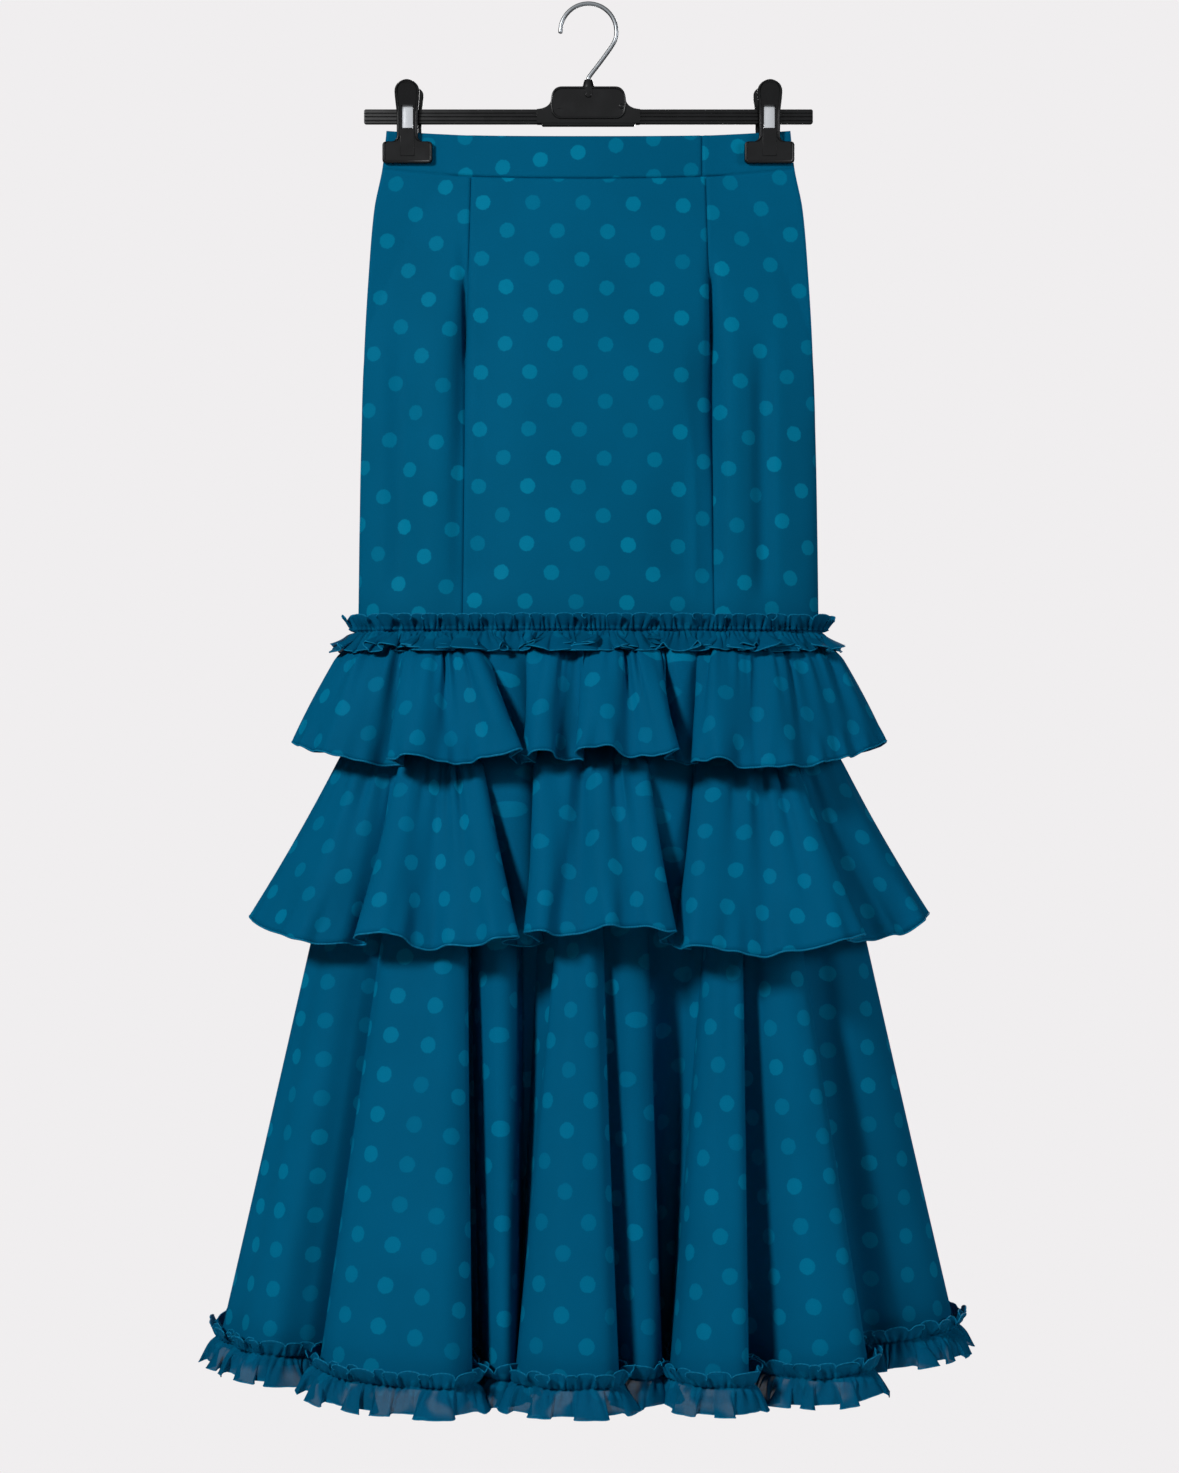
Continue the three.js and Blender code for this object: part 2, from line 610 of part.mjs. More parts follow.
// The thicker cover over its middle, just inside the block's top edge
function coverOutline() {
  const { halfTop, half } = BLOCK;
  const { bottom, corner, round } = COVER;
  const top = BLOCK.top - COVER.drop;
  const outline = new THREE.Shape().moveTo(round - half, bottom).lineTo(half - round, bottom);
  outline.quadraticCurveTo(half, bottom, half, bottom + round).lineTo(half, top - corner);
  outline.quadraticCurveTo(half - 0.4, top, halfTop, top);
  outline.lineTo(-halfTop, top);
  outline.quadraticCurveTo(0.4 - half, top, -half, top - corner).lineTo(-half, bottom + round);
  outline.quadraticCurveTo(-half, bottom, round - half, bottom);
  return outline;
}

function addHangerBar(group) {
  const thick = BAR.halfThick;
  const middle = (BAR.top + BAR.bottom) / 2;
  const face = [
    [thick, BAR.top], [thick, middle + GROOVE.mouth], [thick - GROOVE.depth, middle + GROOVE.floor],
    [thick - GROOVE.depth, middle - GROOVE.floor], [thick, middle - GROOVE.mouth], [thick, BAR.bottom],
  ];
  const section = [...face.map(([y, z]) => [-y, z]), ...face.toReversed()];
  const block = frontSlab(blockOutline(), BLOCK.halfThick, 2 * BLOCK.halfThick);
  const cover = frontSlab(coverOutline(), COVER.halfThick, 2 * COVER.halfThick);
  const lipTop = BAR.bottom + 2;
  const lip = new THREE.BoxGeometry(2 * LIP.half, 2 * LIP.halfThick, lipTop - LIP.bottom);
  lip.translate(0, 0, (lipTop + LIP.bottom) / 2);
  const nub = new THREE.LatheGeometry([
    new THREE.Vector2(0, BLOCK.top - NUB.sunk),
    new THREE.Vector2(NUB.baseRadius, BLOCK.top - NUB.sunk),
    new THREE.Vector2(NUB.baseRadius, BLOCK.top),
    new THREE.Vector2(NUB.topRadius, NUB.top),
    new THREE.Vector2(0, NUB.top),
  ], 12).rotateX(Math.PI / 2);
  const whole = [sideSlab(section, BAR.halfLength), block, cover, lip, nub].map(toSolid);
  addPiece(group, 'hanger_bar', fromSolid(whole.reduce((sum, next) => sum.add(next))), BLACK_PLASTIC);
}

// The hook's wire runs round a circle and then sweeps back over the middle of the bar
function addHook(group) {
  const radius = HOOK.bend;
  const centreZ = HOOK.wire / 2 - radius;
  const turns = range(13).map((i) => radians(mix(HOOK.tip, HOOK.turnEnd, i / 12)));
  const onBend = (turn) => new THREE.Vector3(Math.cos(turn), 0, Math.sin(turn)).multiplyScalar(radius);
  const bend = turns.map((turn) => onBend(turn).add(new THREE.Vector3(0, 0, centreZ)));
  const sweep = HOOK_SWEEP.map(([x, z]) => new THREE.Vector3(x, 0, z));
  const foot = new THREE.Vector3(0, 0, NUB.top + SEAM_GAP + HOOK_FOOT_RISE);
  const path = new THREE.CatmullRomCurve3([...bend, ...sweep, foot], false, 'centripetal');
  const ring = range(HOOK.sides).map((i) => {
    const turn = 2 * Math.PI * (i + 0.5) / HOOK.sides;
    return new THREE.Vector2(Math.cos(turn), Math.sin(turn)).multiplyScalar(HOOK.wire / 2);
  });
  const wire = new THREE.ExtrudeGeometry(new THREE.Shape(ring), { steps: HOOK.steps, extrudePath: path });
  addPiece(group, 'hook', wire, CHROME);
}

// The outline of a jaw from the front: a round head, a narrower stem and a wide foot
function jawOutline(headShift) {
  const { stemHalf: stem, headHalf: head, top, neck, headRound } = CLIP;
  const { half: foot, top: footTop, bottom: footBottom, round, fillet } = CLIP_FOOT;
  const flat = headRound / 2;
  const outline = new THREE.Shape().moveTo(round - foot, footBottom).lineTo(foot - round, footBottom);
  outline.quadraticCurveTo(foot, footBottom, foot, footBottom + round).lineTo(foot, footTop - round);
  outline.quadraticCurveTo(foot, footTop, foot - round, footTop).lineTo(stem + fillet, footTop);
  outline.quadraticCurveTo(stem, footTop, stem, footTop + fillet).lineTo(stem, top - neck);
  outline.lineTo(headShift + head, top - 2 * headRound).lineTo(headShift + head, top - headRound);
  outline.quadraticCurveTo(headShift + head, top, headShift + flat, top).lineTo(headShift - flat, top);
  outline.quadraticCurveTo(headShift - head, top, headShift - head, top - headRound);
  outline.lineTo(headShift - head, top - 2 * headRound);
  outline.lineTo(-stem, top - neck).lineTo(-stem, footTop + fillet);
  outline.quadraticCurveTo(-stem, footTop, -stem - fillet, footTop).lineTo(round - foot, footTop);
  outline.quadraticCurveTo(-foot, footTop, -foot, footTop - round).lineTo(-foot, footBottom + round);
  outline.quadraticCurveTo(-foot, footBottom, round - foot, footBottom);
  return outline;
}

// The outline of the front jaw from the side: its foot nips the cloth and its head leans away from the bar
function jawProfile() {
  const { top, neck } = CLIP;
  const { top: footTop, bottom: footBottom, chamfer } = CLIP_FOOT;
  const { head, wall, foot } = CLIP_LEAN;
  const nip = CLOTH_WALL + 1.5 * SEAM_GAP;
  const stem = SPRING.inner + SPRING.thick + SEAM_GAP;
  return [
    [-nip, footBottom], [-nip, footTop + 3], [-stem, footTop + 10], [-stem, top - 22],
    [-stem - head, top], [-stem - head - wall, top], [-stem - wall - 0.1, top - neck],
    [-stem - wall + 0.1, footTop + 8], [-foot, footTop - 1], [-foot, footBottom + 2],
    [-foot + chamfer, footBottom],
  ];
}

// Each clip is two jaws that nip both layers of the waistband, and a sprung steel strip over the bar
function addClip(group, name, x) {
  const profile = jawProfile();
  const through = 20;
  const windowHeight = CLIP_WINDOW.top - CLIP_WINDOW.bottom;
  const hole = new THREE.BoxGeometry(2 * CLIP_WINDOW.half, 2 * through, windowHeight);
  hole.translate(0, 0, CLIP_WINDOW.bottom + windowHeight / 2);
  const frontSide = sideSlab(profile, through + CLIP_FOOT.half);
  const backSide = sideSlab(profile.map(([y, z]) => [-y, z]).reverse(), through + CLIP_FOOT.half);
  const backShift = -CLIP.backShift * Math.sign(x);
  const front = toSolid(frontSlab(jawOutline(0), 0, through));
  const back = toSolid(frontSlab(jawOutline(backShift), through, through));
  const windowed = front.intersect(toSolid(frontSide)).subtract(toSolid(hole));
  const { inner, thick } = SPRING;
  const strip = sideSlab([
    [-inner - thick, SPRING.bottom], [-inner, SPRING.bottom], [-inner, SPRING.top - thick],
    [inner, SPRING.top - thick], [inner, SPRING.bottom], [inner + thick, SPRING.bottom],
    [inner + thick, SPRING.top], [-inner - thick, SPRING.top],
  ], SPRING.half);
  addPiece(group, `${name}_jaw_front`, fromSolid(windowed), BLACK_PLASTIC).position.x = x;
  const plain = back.intersect(toSolid(backSide));
  addPiece(group, `${name}_jaw_back`, fromSolid(plain), BLACK_PLASTIC).position.x = x;
  addPiece(group, `${name}_spring`, strip, CHROME).position.x = x;
}

// ---------------------------------------------------------------- the whole part
const skirt = new THREE.Group();
addWaistband(skirt);
addBodyPanels(skirt);
const upperFlounce = addFlounce(skirt, FLOUNCE_1);
addFlounce(skirt, FLOUNCE_2);
const lastFlounce = addFlounce(skirt, FLOUNCE_3);
addHeading(skirt, upperFlounce);
addHemTrim(skirt, lastFlounce);

const hanger = new THREE.Group();
addHangerBar(hanger);
addHook(hanger);
addClip(hanger, 'clip_left', -CLIP.x);
addClip(hanger, 'clip_right', CLIP.x);

const part = new THREE.Group();
part.add(skirt, hanger);
export default part;
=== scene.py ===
import math

import bmesh
import bpy
import numpy as np
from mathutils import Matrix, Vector


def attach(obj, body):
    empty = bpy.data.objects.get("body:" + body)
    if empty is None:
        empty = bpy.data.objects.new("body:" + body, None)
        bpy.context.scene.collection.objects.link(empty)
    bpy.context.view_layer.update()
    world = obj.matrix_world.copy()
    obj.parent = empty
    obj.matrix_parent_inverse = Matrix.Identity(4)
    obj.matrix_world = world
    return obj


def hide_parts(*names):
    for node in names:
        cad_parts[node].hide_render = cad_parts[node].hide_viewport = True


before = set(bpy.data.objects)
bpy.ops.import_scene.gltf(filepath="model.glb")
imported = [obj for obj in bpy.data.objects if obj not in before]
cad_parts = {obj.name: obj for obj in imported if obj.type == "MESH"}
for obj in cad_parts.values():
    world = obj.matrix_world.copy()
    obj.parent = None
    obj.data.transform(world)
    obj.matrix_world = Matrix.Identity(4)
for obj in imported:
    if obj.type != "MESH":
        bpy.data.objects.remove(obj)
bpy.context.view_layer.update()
mm = 0.001


def toLinear(hexColour):
    parts = [int(hexColour[i:i + 2], 16) / 255 for i in (1, 3, 5)]
    return [c / 12.92 if c <= 0.04045 else ((c + 0.055) / 1.055) ** 2.4 for c in parts] + [1.0]


def addNode(tree, kind, inputs=None, **settings):
    node = tree.nodes.new(kind)
    for name, value in settings.items():
        setattr(node, name, value)
    for socket, value in (inputs or {}).items():
        if isinstance(value, bpy.types.NodeSocket):
            tree.links.new(value, node.inputs[socket])
        else:
            node.inputs[socket].default_value = value
    return node


def newMaterial(name):
    material = bpy.data.materials.new(name)
    material.use_nodes = True
    material.node_tree.nodes.clear()
    return material, material.node_tree


def smooth(start, end, value):
    t = np.clip((value - start) / (end - start), 0, 1)
    return t * t * (3 - 2 * t)


def unit(vectors):
    return vectors / np.maximum(np.linalg.norm(vectors, axis=-1, keepdims=True), 1e-9)


# Level and square to a line that runs to the viewer's right in front, so out of the skirt
def squareOut(along):
    return unit(np.stack([along[..., 1], -along[..., 0], np.zeros_like(along[..., 0])], axis=-1))


# The length of cloth passed at each point, from 0 at the first
def runAlong(points, axis=0):
    steps = np.cumsum(np.linalg.norm(np.diff(points, axis=axis), axis=-1), axis=axis)
    return np.concatenate([np.zeros_like(np.take(steps, [0], axis=axis)), steps], axis=axis)


def addObject(name, data):
    thing = bpy.data.objects.new(name, data)
    bpy.context.collection.objects.link(thing)
    return thing


# Polyester crepe, woven of twisted yarn: matt, with a fine pebbled grain. Chiffon is thinner and smoother, so
# a little light comes through it, and a frill's single layer is partly sheer. Sizes are in mm. The threads
# really lie about 0.2 mm apart and are drawn coarser, so that they show
crepe = {
    "base": "#005f84", "dot": "#0080a4", "shade": "#005474",
    "roughness": 0.72, "through": 0.0,
    "threadPitch": 0.55, "threadRelief": 0.12, "dotRadius": 6.4, "dotStrength": 1.0,
}
chiffon = {
    "base": "#00658e", "dot": "#0087b0", "shade": "#00587c",
    "roughness": 0.68, "through": 0.1,
    "threadPitch": 0.45, "threadRelief": 0.08, "dotRadius": 6.6, "dotStrength": 0.75,
}
# The frill is the same chiffon with its base and patch colours made a little darker, as painted shade for the
# shadow among its crinkled flutes
frill = {**chiffon, "dotStrength": 0.3, "through": 0.12, "sheer": 0.2,
         "base": "#006189", "shade": "#00506f"}
dotPattern = {"across": 42.5, "down": 48.4, "wobble": 1.6, "softRim": 0.4, "faintest": 0.5}


# Tone-on-tone dots stand on two rectangular grids, one set in the middle of the other. Each dot is a little
# lighter or darker than its neighbours and its rim wobbles as a woven figure's does
def addDots(tree, place, look):
    pitch = (dotPattern["across"] * mm, dotPattern["down"] * mm, 1.0)
    shake, softRim = dotPattern["wobble"] * mm, dotPattern["softRim"] * mm
    radius = look["dotRadius"] * mm
    wobble = addNode(tree, "ShaderNodeTexNoise",  # 2.4 mm across
                     {"Vector": place, "Scale": 420.0, "Detail": 1.0})
    centred = addNode(tree, "ShaderNodeVectorMath", {0: wobble.outputs["Color"], 1: (0.5, 0.5, 0.5)},
                      operation="SUBTRACT")
    shifted = addNode(tree, "ShaderNodeVectorMath",
                      {0: centred.outputs[0], 1: (shake, shake, 0.0), 2: place}, operation="MULTIPLY_ADD")
    total = None
    for offset in (0.0, 0.5):
        cells = addNode(tree, "ShaderNodeVectorMath",
                        {0: shifted.outputs[0], 1: tuple(1 / p for p in pitch), 2: (offset, offset, 0.5)},
                        operation="MULTIPLY_ADD")
        corner = addNode(tree, "ShaderNodeVectorMath", {0: cells.outputs[0]}, operation="FLOOR")
        inside = addNode(tree, "ShaderNodeVectorMath", {0: cells.outputs[0], 1: corner.outputs[0]},
                         operation="SUBTRACT")
        fromMiddle = addNode(tree, "ShaderNodeVectorMath",
                             {0: inside.outputs[0], 1: pitch, 2: tuple(-p / 2 for p in pitch)},
                             operation="MULTIPLY_ADD")
        flat = addNode(tree, "ShaderNodeVectorMath", {0: fromMiddle.outputs[0], 1: (1.0, 1.0, 0.0)},
                       operation="MULTIPLY")
        away = addNode(tree, "ShaderNodeVectorMath", {0: flat.outputs[0]}, operation="LENGTH")
        disc = addNode(tree, "ShaderNodeMapRange",
                       {"Value": away.outputs["Value"], "From Min": radius + softRim,
                        "From Max": radius - softRim, "To Min": 0.0, "To Max": 1.0})
        chance = addNode(tree, "ShaderNodeTexWhiteNoise", {"Vector": corner.outputs[0]})
        strength = addNode(tree, "ShaderNodeMapRange",
                           {"Value": chance.outputs["Value"], "To Min": dotPattern["faintest"],
                            "To Max": 1.0})
        lit = addNode(tree, "ShaderNodeMath", {0: disc.outputs[0], 1: strength.outputs[0]},
                      operation="MULTIPLY")
        if total is None:
            total = lit
        else:
            total = addNode(tree, "ShaderNodeMath", {0: total.outputs[0], 1: lit.outputs[0]},
                            operation="MAXIMUM")
    return addNode(tree, "ShaderNodeMath", {0: total.outputs[0], 1: look["dotStrength"]},
                   operation="MULTIPLY")


def clothMaterial(name, look):
    material, tree = newMaterial(name)
    place = addNode(tree, "ShaderNodeUVMap", uv_map="cloth").outputs[0]
    dots = addDots(tree, place, look)
    cloudy = addNode(tree, "ShaderNodeTexNoise",  # 110 mm across, as cloth takes up dye unevenly
                     {"Vector": place, "Scale": 9.0, "Detail": 3.0})
    grainy = addNode(tree, "ShaderNodeTexNoise",
                     {"Vector": place, "Scale": 1 / (look["threadPitch"] * mm) * 0.5, "Detail": 2.0,
                      "Roughness": 0.7})
    patchy = addNode(tree, "ShaderNodeMapRange",
                     {"Value": cloudy.outputs[0], "From Min": 0.35, "From Max": 0.65,
                      "To Min": 0.0, "To Max": 0.35})
    ground = addNode(tree, "ShaderNodeMix", {0: patchy.outputs[0], 6: toLinear(look["base"]),
                                             7: toLinear(look["shade"])}, data_type="RGBA")
    dotted = addNode(tree, "ShaderNodeMix", {0: dots.outputs[0], 6: ground.outputs[2],
                                             7: toLinear(look["dot"])}, data_type="RGBA")
    threads = addNode(tree, "ShaderNodeMapRange",
                      {"Value": grainy.outputs[0], "From Min": 0.3, "From Max": 0.7,
                       "To Min": 0.93, "To Max": 1.05})
    colour = addNode(tree, "ShaderNodeVectorMath", {0: dotted.outputs[2], 3: threads.outputs[0]},
                     operation="SCALE")
    relief = addNode(tree, "ShaderNodeBump",
                     {"Height": grainy.outputs[0], "Strength": 0.35,
                      "Distance": look["threadRelief"] * mm})
    lustre = addNode(tree, "ShaderNodeMapRange",
                     {"Value": dots.outputs[0], "To Min": look["roughness"],
                      "To Max": look["roughness"] - 0.12})
    shader = addNode(tree, "ShaderNodeBsdfPrincipled",
                     {"Base Color": colour.outputs[0], "Roughness": lustre.outputs[0],
                      "Specular IOR Level": 0.02, "Normal": relief.outputs[0]})
    surface = shader.outputs[0]
    if look["through"]:
        glow = addNode(tree, "ShaderNodeBsdfTranslucent", {"Color": colour.outputs[0]})
        surface = addNode(tree, "ShaderNodeMixShader",
                          {0: look["through"], 1: surface, 2: glow.outputs[0]}).outputs[0]
    if look.get("sheer"):
        clear = addNode(tree, "ShaderNodeBsdfTransparent")
        loose = addNode(tree, "ShaderNodeTexNoise",  # 20 mm across, about the width of a flute
                        {"Vector": place, "Scale": 48.0, "Detail": 1.0})
        thin = addNode(tree, "ShaderNodeMapRange",
                       {"Value": loose.outputs[0], "From Min": 0.48, "From Max": 0.6,
                        "To Min": 0.03, "To Max": look["sheer"]})
        surface = addNode(tree, "ShaderNodeMixShader",
                          {0: thin.outputs[0], 1: surface, 2: clear.outputs[0]}).outputs[0]
    addNode(tree, "ShaderNodeOutputMaterial", {"Surface": surface})
    return material


# Rayon thread overlocked round a rolled edge: its twist shows as fine slanting bands with a soft shine. They
# come every 2.4 mm along the edge, coarser than the real twist, so that they show
thread = {"colour": "#02749c", "roughness": 0.6, "bandScale": 260.0, "relief": 0.15}


def threadMaterial(name, look):
    material, tree = newMaterial(name)
    place = addNode(tree, "ShaderNodeUVMap", uv_map="cloth").outputs[0]
    twist = addNode(tree, "ShaderNodeTexWave",
                    {"Vector": place, "Scale": look["bandScale"], "Distortion": 1.5},
                    wave_type="BANDS", bands_direction="DIAGONAL")
    tone = addNode(tree, "ShaderNodeMapRange", {"Value": twist.outputs["Fac"], "To Min": 0.85, "To Max": 1.1})
    tint = addNode(tree, "ShaderNodeVectorMath", {0: toLinear(look["colour"])[:3], 3: tone.outputs[0]},
                   operation="SCALE")
    relief = addNode(tree, "ShaderNodeBump", {"Height": twist.outputs["Fac"], "Strength": 0.4,
                                              "Distance": look["relief"] * mm})
    shader = addNode(tree, "ShaderNodeBsdfPrincipled",
                     {"Base Color": tint.outputs[0], "Roughness": look["roughness"],
                      "Specular IOR Level": 0.1, "Normal": relief.outputs[0]})
    addNode(tree, "ShaderNodeOutputMaterial", {"Surface": shader.outputs[0]})
    return material


plastic = {"colour": "#0b0b0c", "worn": "#1b1c1e", "roughness": 0.28, "specular": 0.22, "grit": 0.4,
           "relief": 0.03}
steel = {"wireColour": "#8c8f92", "wireRoughness": 0.3, "stripColour": "#c9cbce", "stripRoughness": 0.22,
         "drawPitch": 0.5}


# Moulded black polypropylene: a soft, broad shine over a fine spark-eroded grain
def mouldedPlastic():
    material, tree = newMaterial("mouldedPolypropylene")
    place = addNode(tree, "ShaderNodeTexCoord").outputs["Object"]
    grit = addNode(tree, "ShaderNodeTexNoise",
                   {"Vector": place, "Scale": 1 / (plastic["grit"] * mm), "Detail": 2.0})
    handled = addNode(tree, "ShaderNodeTexNoise",  # 17 mm across, the width of a fingertip
                      {"Vector": place, "Scale": 60.0, "Detail": 4.0})
    gloss = addNode(tree, "ShaderNodeMapRange",
                    {"Value": handled.outputs[0], "From Min": 0.3, "From Max": 0.7,
                     "To Min": plastic["roughness"] - 0.05, "To Max": plastic["roughness"] + 0.1})
    worn = addNode(tree, "ShaderNodeMapRange",
                   {"Value": handled.outputs[0], "From Min": 0.45, "From Max": 0.75,
                    "To Min": 0.0, "To Max": 0.3})
    colour = addNode(tree, "ShaderNodeMix", {0: worn.outputs[0], 6: toLinear(plastic["colour"]),
                                             7: toLinear(plastic["worn"])}, data_type="RGBA")
    relief = addNode(tree, "ShaderNodeBump", {"Height": grit.outputs[0], "Strength": 0.25,
                                              "Distance": plastic["relief"] * mm})
    shader = addNode(tree, "ShaderNodeBsdfPrincipled",
                     {"Base Color": colour.outputs[2], "Roughness": gloss.outputs[0], "IOR": 1.49,
                      "Specular IOR Level": plastic["specular"], "Normal": relief.outputs[0]})
    addNode(tree, "ShaderNodeOutputMaterial", {"Surface": shader.outputs[0]})
    return material


# Chromed steel: drawn or pressed, then plated, so that it mirrors the room with faint draw lines
def chromedSteel(name, colour, roughness):
    material, tree = newMaterial(name)
    place = addNode(tree, "ShaderNodeTexCoord").outputs["Object"]
    stretched = addNode(tree, "ShaderNodeVectorMath", {0: place, 1: (1.0, 1.0, 0.08)},
                        operation="MULTIPLY")
    drawn = addNode(tree, "ShaderNodeTexNoise",
                    {"Vector": stretched.outputs[0], "Scale": 1 / (steel["drawPitch"] * mm), "Detail": 2.0})
    gloss = addNode(tree, "ShaderNodeMapRange",
                    {"Value": drawn.outputs[0], "From Min": 0.3, "From Max": 0.7,
                     "To Min": roughness - 0.04, "To Max": roughness + 0.08})
    shader = addNode(tree, "ShaderNodeBsdfPrincipled",
                     {"Base Color": toLinear(colour), "Metallic": 1.0,
                      "Roughness": gloss.outputs[0]})
    addNode(tree, "ShaderNodeOutputMaterial", {"Surface": shader.outputs[0]})
    return material


bodyCloth = clothMaterial("wovenCrepe", crepe)
flounceCloth = clothMaterial("dottedChiffon", chiffon)
trimCloth = clothMaterial("frilledChiffon", frill)
edgeThread = threadMaterial("rolledEdgeRayon", thread)
blackPlastic = mouldedPlastic()
wireChrome = chromedSteel("chromedWire", steel["wireColour"], steel["wireRoughness"])
stripChrome = chromedSteel("chromedStrip", steel["stripColour"], steel["stripRoughness"])
print("materials ready")


# The square-out direction of a grid of points, its rows running down and its columns round to the viewer's
# right in front
def outward(points):
    return unit(np.cross(np.gradient(points, axis=0), np.gradient(points, axis=1)))


def makeMesh(name, verts, faces, uvs, materials, faceMaterials=None):
    mesh = bpy.data.meshes.new(name)
    mesh.from_pydata((np.asarray(verts) * mm).tolist(), [], faces)
    for material in materials:
        mesh.materials.append(material)
    if faceMaterials is not None:
        mesh.polygons.foreach_set("material_index", np.asarray(faceMaterials, dtype=np.int32))
    if uvs is not None:
        layer = mesh.uv_layers.new(name="cloth")
        corners = np.empty(len(mesh.loops), dtype=np.int32)
        mesh.loops.foreach_get("vertex_index", corners)
        layer.data.foreach_set("uv", (np.asarray(uvs)[corners] * mm).ravel())
    mesh.polygons.foreach_set("use_smooth", np.ones(len(mesh.polygons), dtype=bool))
    mesh.validate()
    mesh.update()
    return addObject(name, mesh)


threadSides = 6


# A thin shell with both its faces and its raw edges, and a rolled thread edge along the rows named in edges
def clothShell(name, points, uvs, wall, materials, edges=(), edgeRadius=0.8):
    height, width = points.shape[:2]
    normal = outward(points)
    verts = [(points + normal * wall / 2).reshape(-1, 3), (points - normal * wall / 2).reshape(-1, 3)]
    flatUvs = uvs.reshape(-1, 2)
    allUvs = [flatUvs, flatUvs]
    shift = height * width
    grid = np.arange(shift).reshape(height, width)
    here, below, across, beside = grid[:-1, :-1], grid[1:, :-1], grid[1:, 1:], grid[:-1, 1:]
    outer = np.stack([here, below, across, beside], axis=-1).reshape(-1, 4)
    inner = np.stack([here, beside, across, below], axis=-1).reshape(-1, 4) + shift
    rims = [
        (grid[0, :-1], grid[0, 1:]), (grid[-1, 1:], grid[-1, :-1]),
        (grid[1:, 0], grid[:-1, 0]), (grid[:-1, -1], grid[1:, -1]),
    ]
    rim = np.concatenate([np.stack([a, b, b + shift, a + shift], axis=-1) for a, b in rims])
    faces = [outer, inner, rim]
    kinds = [np.zeros(len(outer)), np.zeros(len(inner)), np.zeros(len(rim))]
    count = 2 * shift
    for row in edges:
        outwards = unit(points[row] - points[row + (1 if row == 0 else -1)])
        tube, tubeFaces = tubeAlong(points[row], normal[row], outwards, edgeRadius, threadSides)
        verts.append(tube)
        allUvs.append(np.repeat(uvs[row], threadSides, axis=0))
        faces.append(tubeFaces + count)
        kinds.append(np.ones(len(tubeFaces)))
        count += len(tube)
    faces = [face for group in faces for face in group.tolist()]
    return makeMesh(name, np.concatenate(verts), faces, np.concatenate(allUvs), materials,
                    np.concatenate(kinds))


def tubeAlong(path, first, second, radius, sides):
    turns = 2 * np.pi * np.arange(sides) / sides
    ring = (np.cos(turns)[None, :, None] * first[:, None, :]
            + np.sin(turns)[None, :, None] * second[:, None, :])
    verts = (path[:, None, :] + radius * ring).reshape(-1, 3)
    grid = np.arange(len(verts)).reshape(len(path), sides)
    a, b = grid[:-1], grid[1:]
    quads = np.stack([a, np.roll(a, -1, axis=1), np.roll(b, -1, axis=1), b], axis=-1).reshape(-1, 4)
    return verts, quads


# Gives a cloth piece its body and hides the CAD nodes that it stands for
def finishCloth(piece, nodes):
    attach(piece, "root")
    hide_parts(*nodes)


body = {
    "wall": 0.9, "bottom": -621.0, "waistTop": (-112.4, -106.4), "waistSeam": (-148.9, -138.7),
    "joinX": 96.5, "waistRows": 14, "rows": 92, "seamDip": 2.0, "seamWidth": 1.0,
}
bodyColumns = ("z", "halfWidth", "bulge", "open", "power", "lip", "princess")
bodyRows = np.array([
    (-100, 171, 6, 0.7, 1.5, 0.75, 99),
    (-139, 175.2, 9, 0.71, 1.4, 0.75, 99.5),
    (-173, 182, 12, 0.78, 1.2, 0.75, 100.2),
    (-232, 187, 17, 0.9, 0.95, 0.75, 101.6),
    (-292, 190.4, 23, 1, 0.75, 0.65, 104),
    (-377, 193, 31, 1, 0.6, 0.5, 104.6),
    (-515, 195, 44, 1, 0.5, 0.35, 105.2),
    (-621, 195.5, 50, 1, 0.5, 0.32, 105.4),
])
# side (1 in front), x, width to the left and right, depth, and the heights where the hollow starts and where
# it is full
bodyHollows = [
    (1, -160, 17, 20, 4, -250, -330),
    (1, -97, 24, 50, 6.5, -236, -300),
    (1, 78, 36, 24, 5, -330, -420),
    (1, 104, 26, 14, 7, -250, -330),
    (1, 147, 13, 14, 6, -270, -340),
    (-1, -150, 18, 16, 5, -260, -340),
    (-1, -104, 16, 30, 6, -250, -330),
    (-1, -46, 22, 26, 4, -340, -430),
    (-1, 62, 28, 22, 5, -320, -410),
    (-1, 105, 30, 15, 6, -250, -330),
]
# side, x at the top, x at the bottom, half width, depth (less than nothing is a ridge), top and bottom height
bodyCreases = [
    (1, -109, -110, 7, 3.4, -240, -540),
    (1, -105.5, -106, 5.0, 5.4, -186, -430),
    (1, -104.5, -104.8, 2.6, 5.0, -226, -318),
    (1, -129, -132, 10, -2.0, -230, -600),
    (1, -152, -158, 10, 1.4, -200, -560),
    (1, 108, 108, 6, 3.2, -240, -520),
    (1, 103.5, 104, 4.6, 5.0, -192, -430),
    (1, 104.2, 104.4, 2.6, 5.0, -222, -312),
    (1, 124, 127, 9, -2.2, -220, -600),
    (1, 160, 166, 8, -0.8, -190, -560),
    (1, 92, 84, 14, 2.2, -270, -600),
    (1, -60, -52, 18, 0.8, -360, -610),
    (1, -88, -86, 12, 1.6, -250, -600),
    (1, -30, -24, 14, 0.5, -430, -620),
    (1, 22, 30, 16, 0.5, -400, -620),
    (-1, -110, -111, 7, 2.4, -250, -430),
    (-1, -128, -132, 10, -1.0, -230, -600),
    (-1, 110, 112, 7, 2.3, -260, -420),
    (-1, 130, 134, 9, -1.0, -240, -590),
    (-1, 78, 66, 16, 1.1, -310, -600),
    (-1, -70, -60, 15, 0.9, -350, -610),
    (-1, 0, 2, 8, 1.1, -300, -600),
]


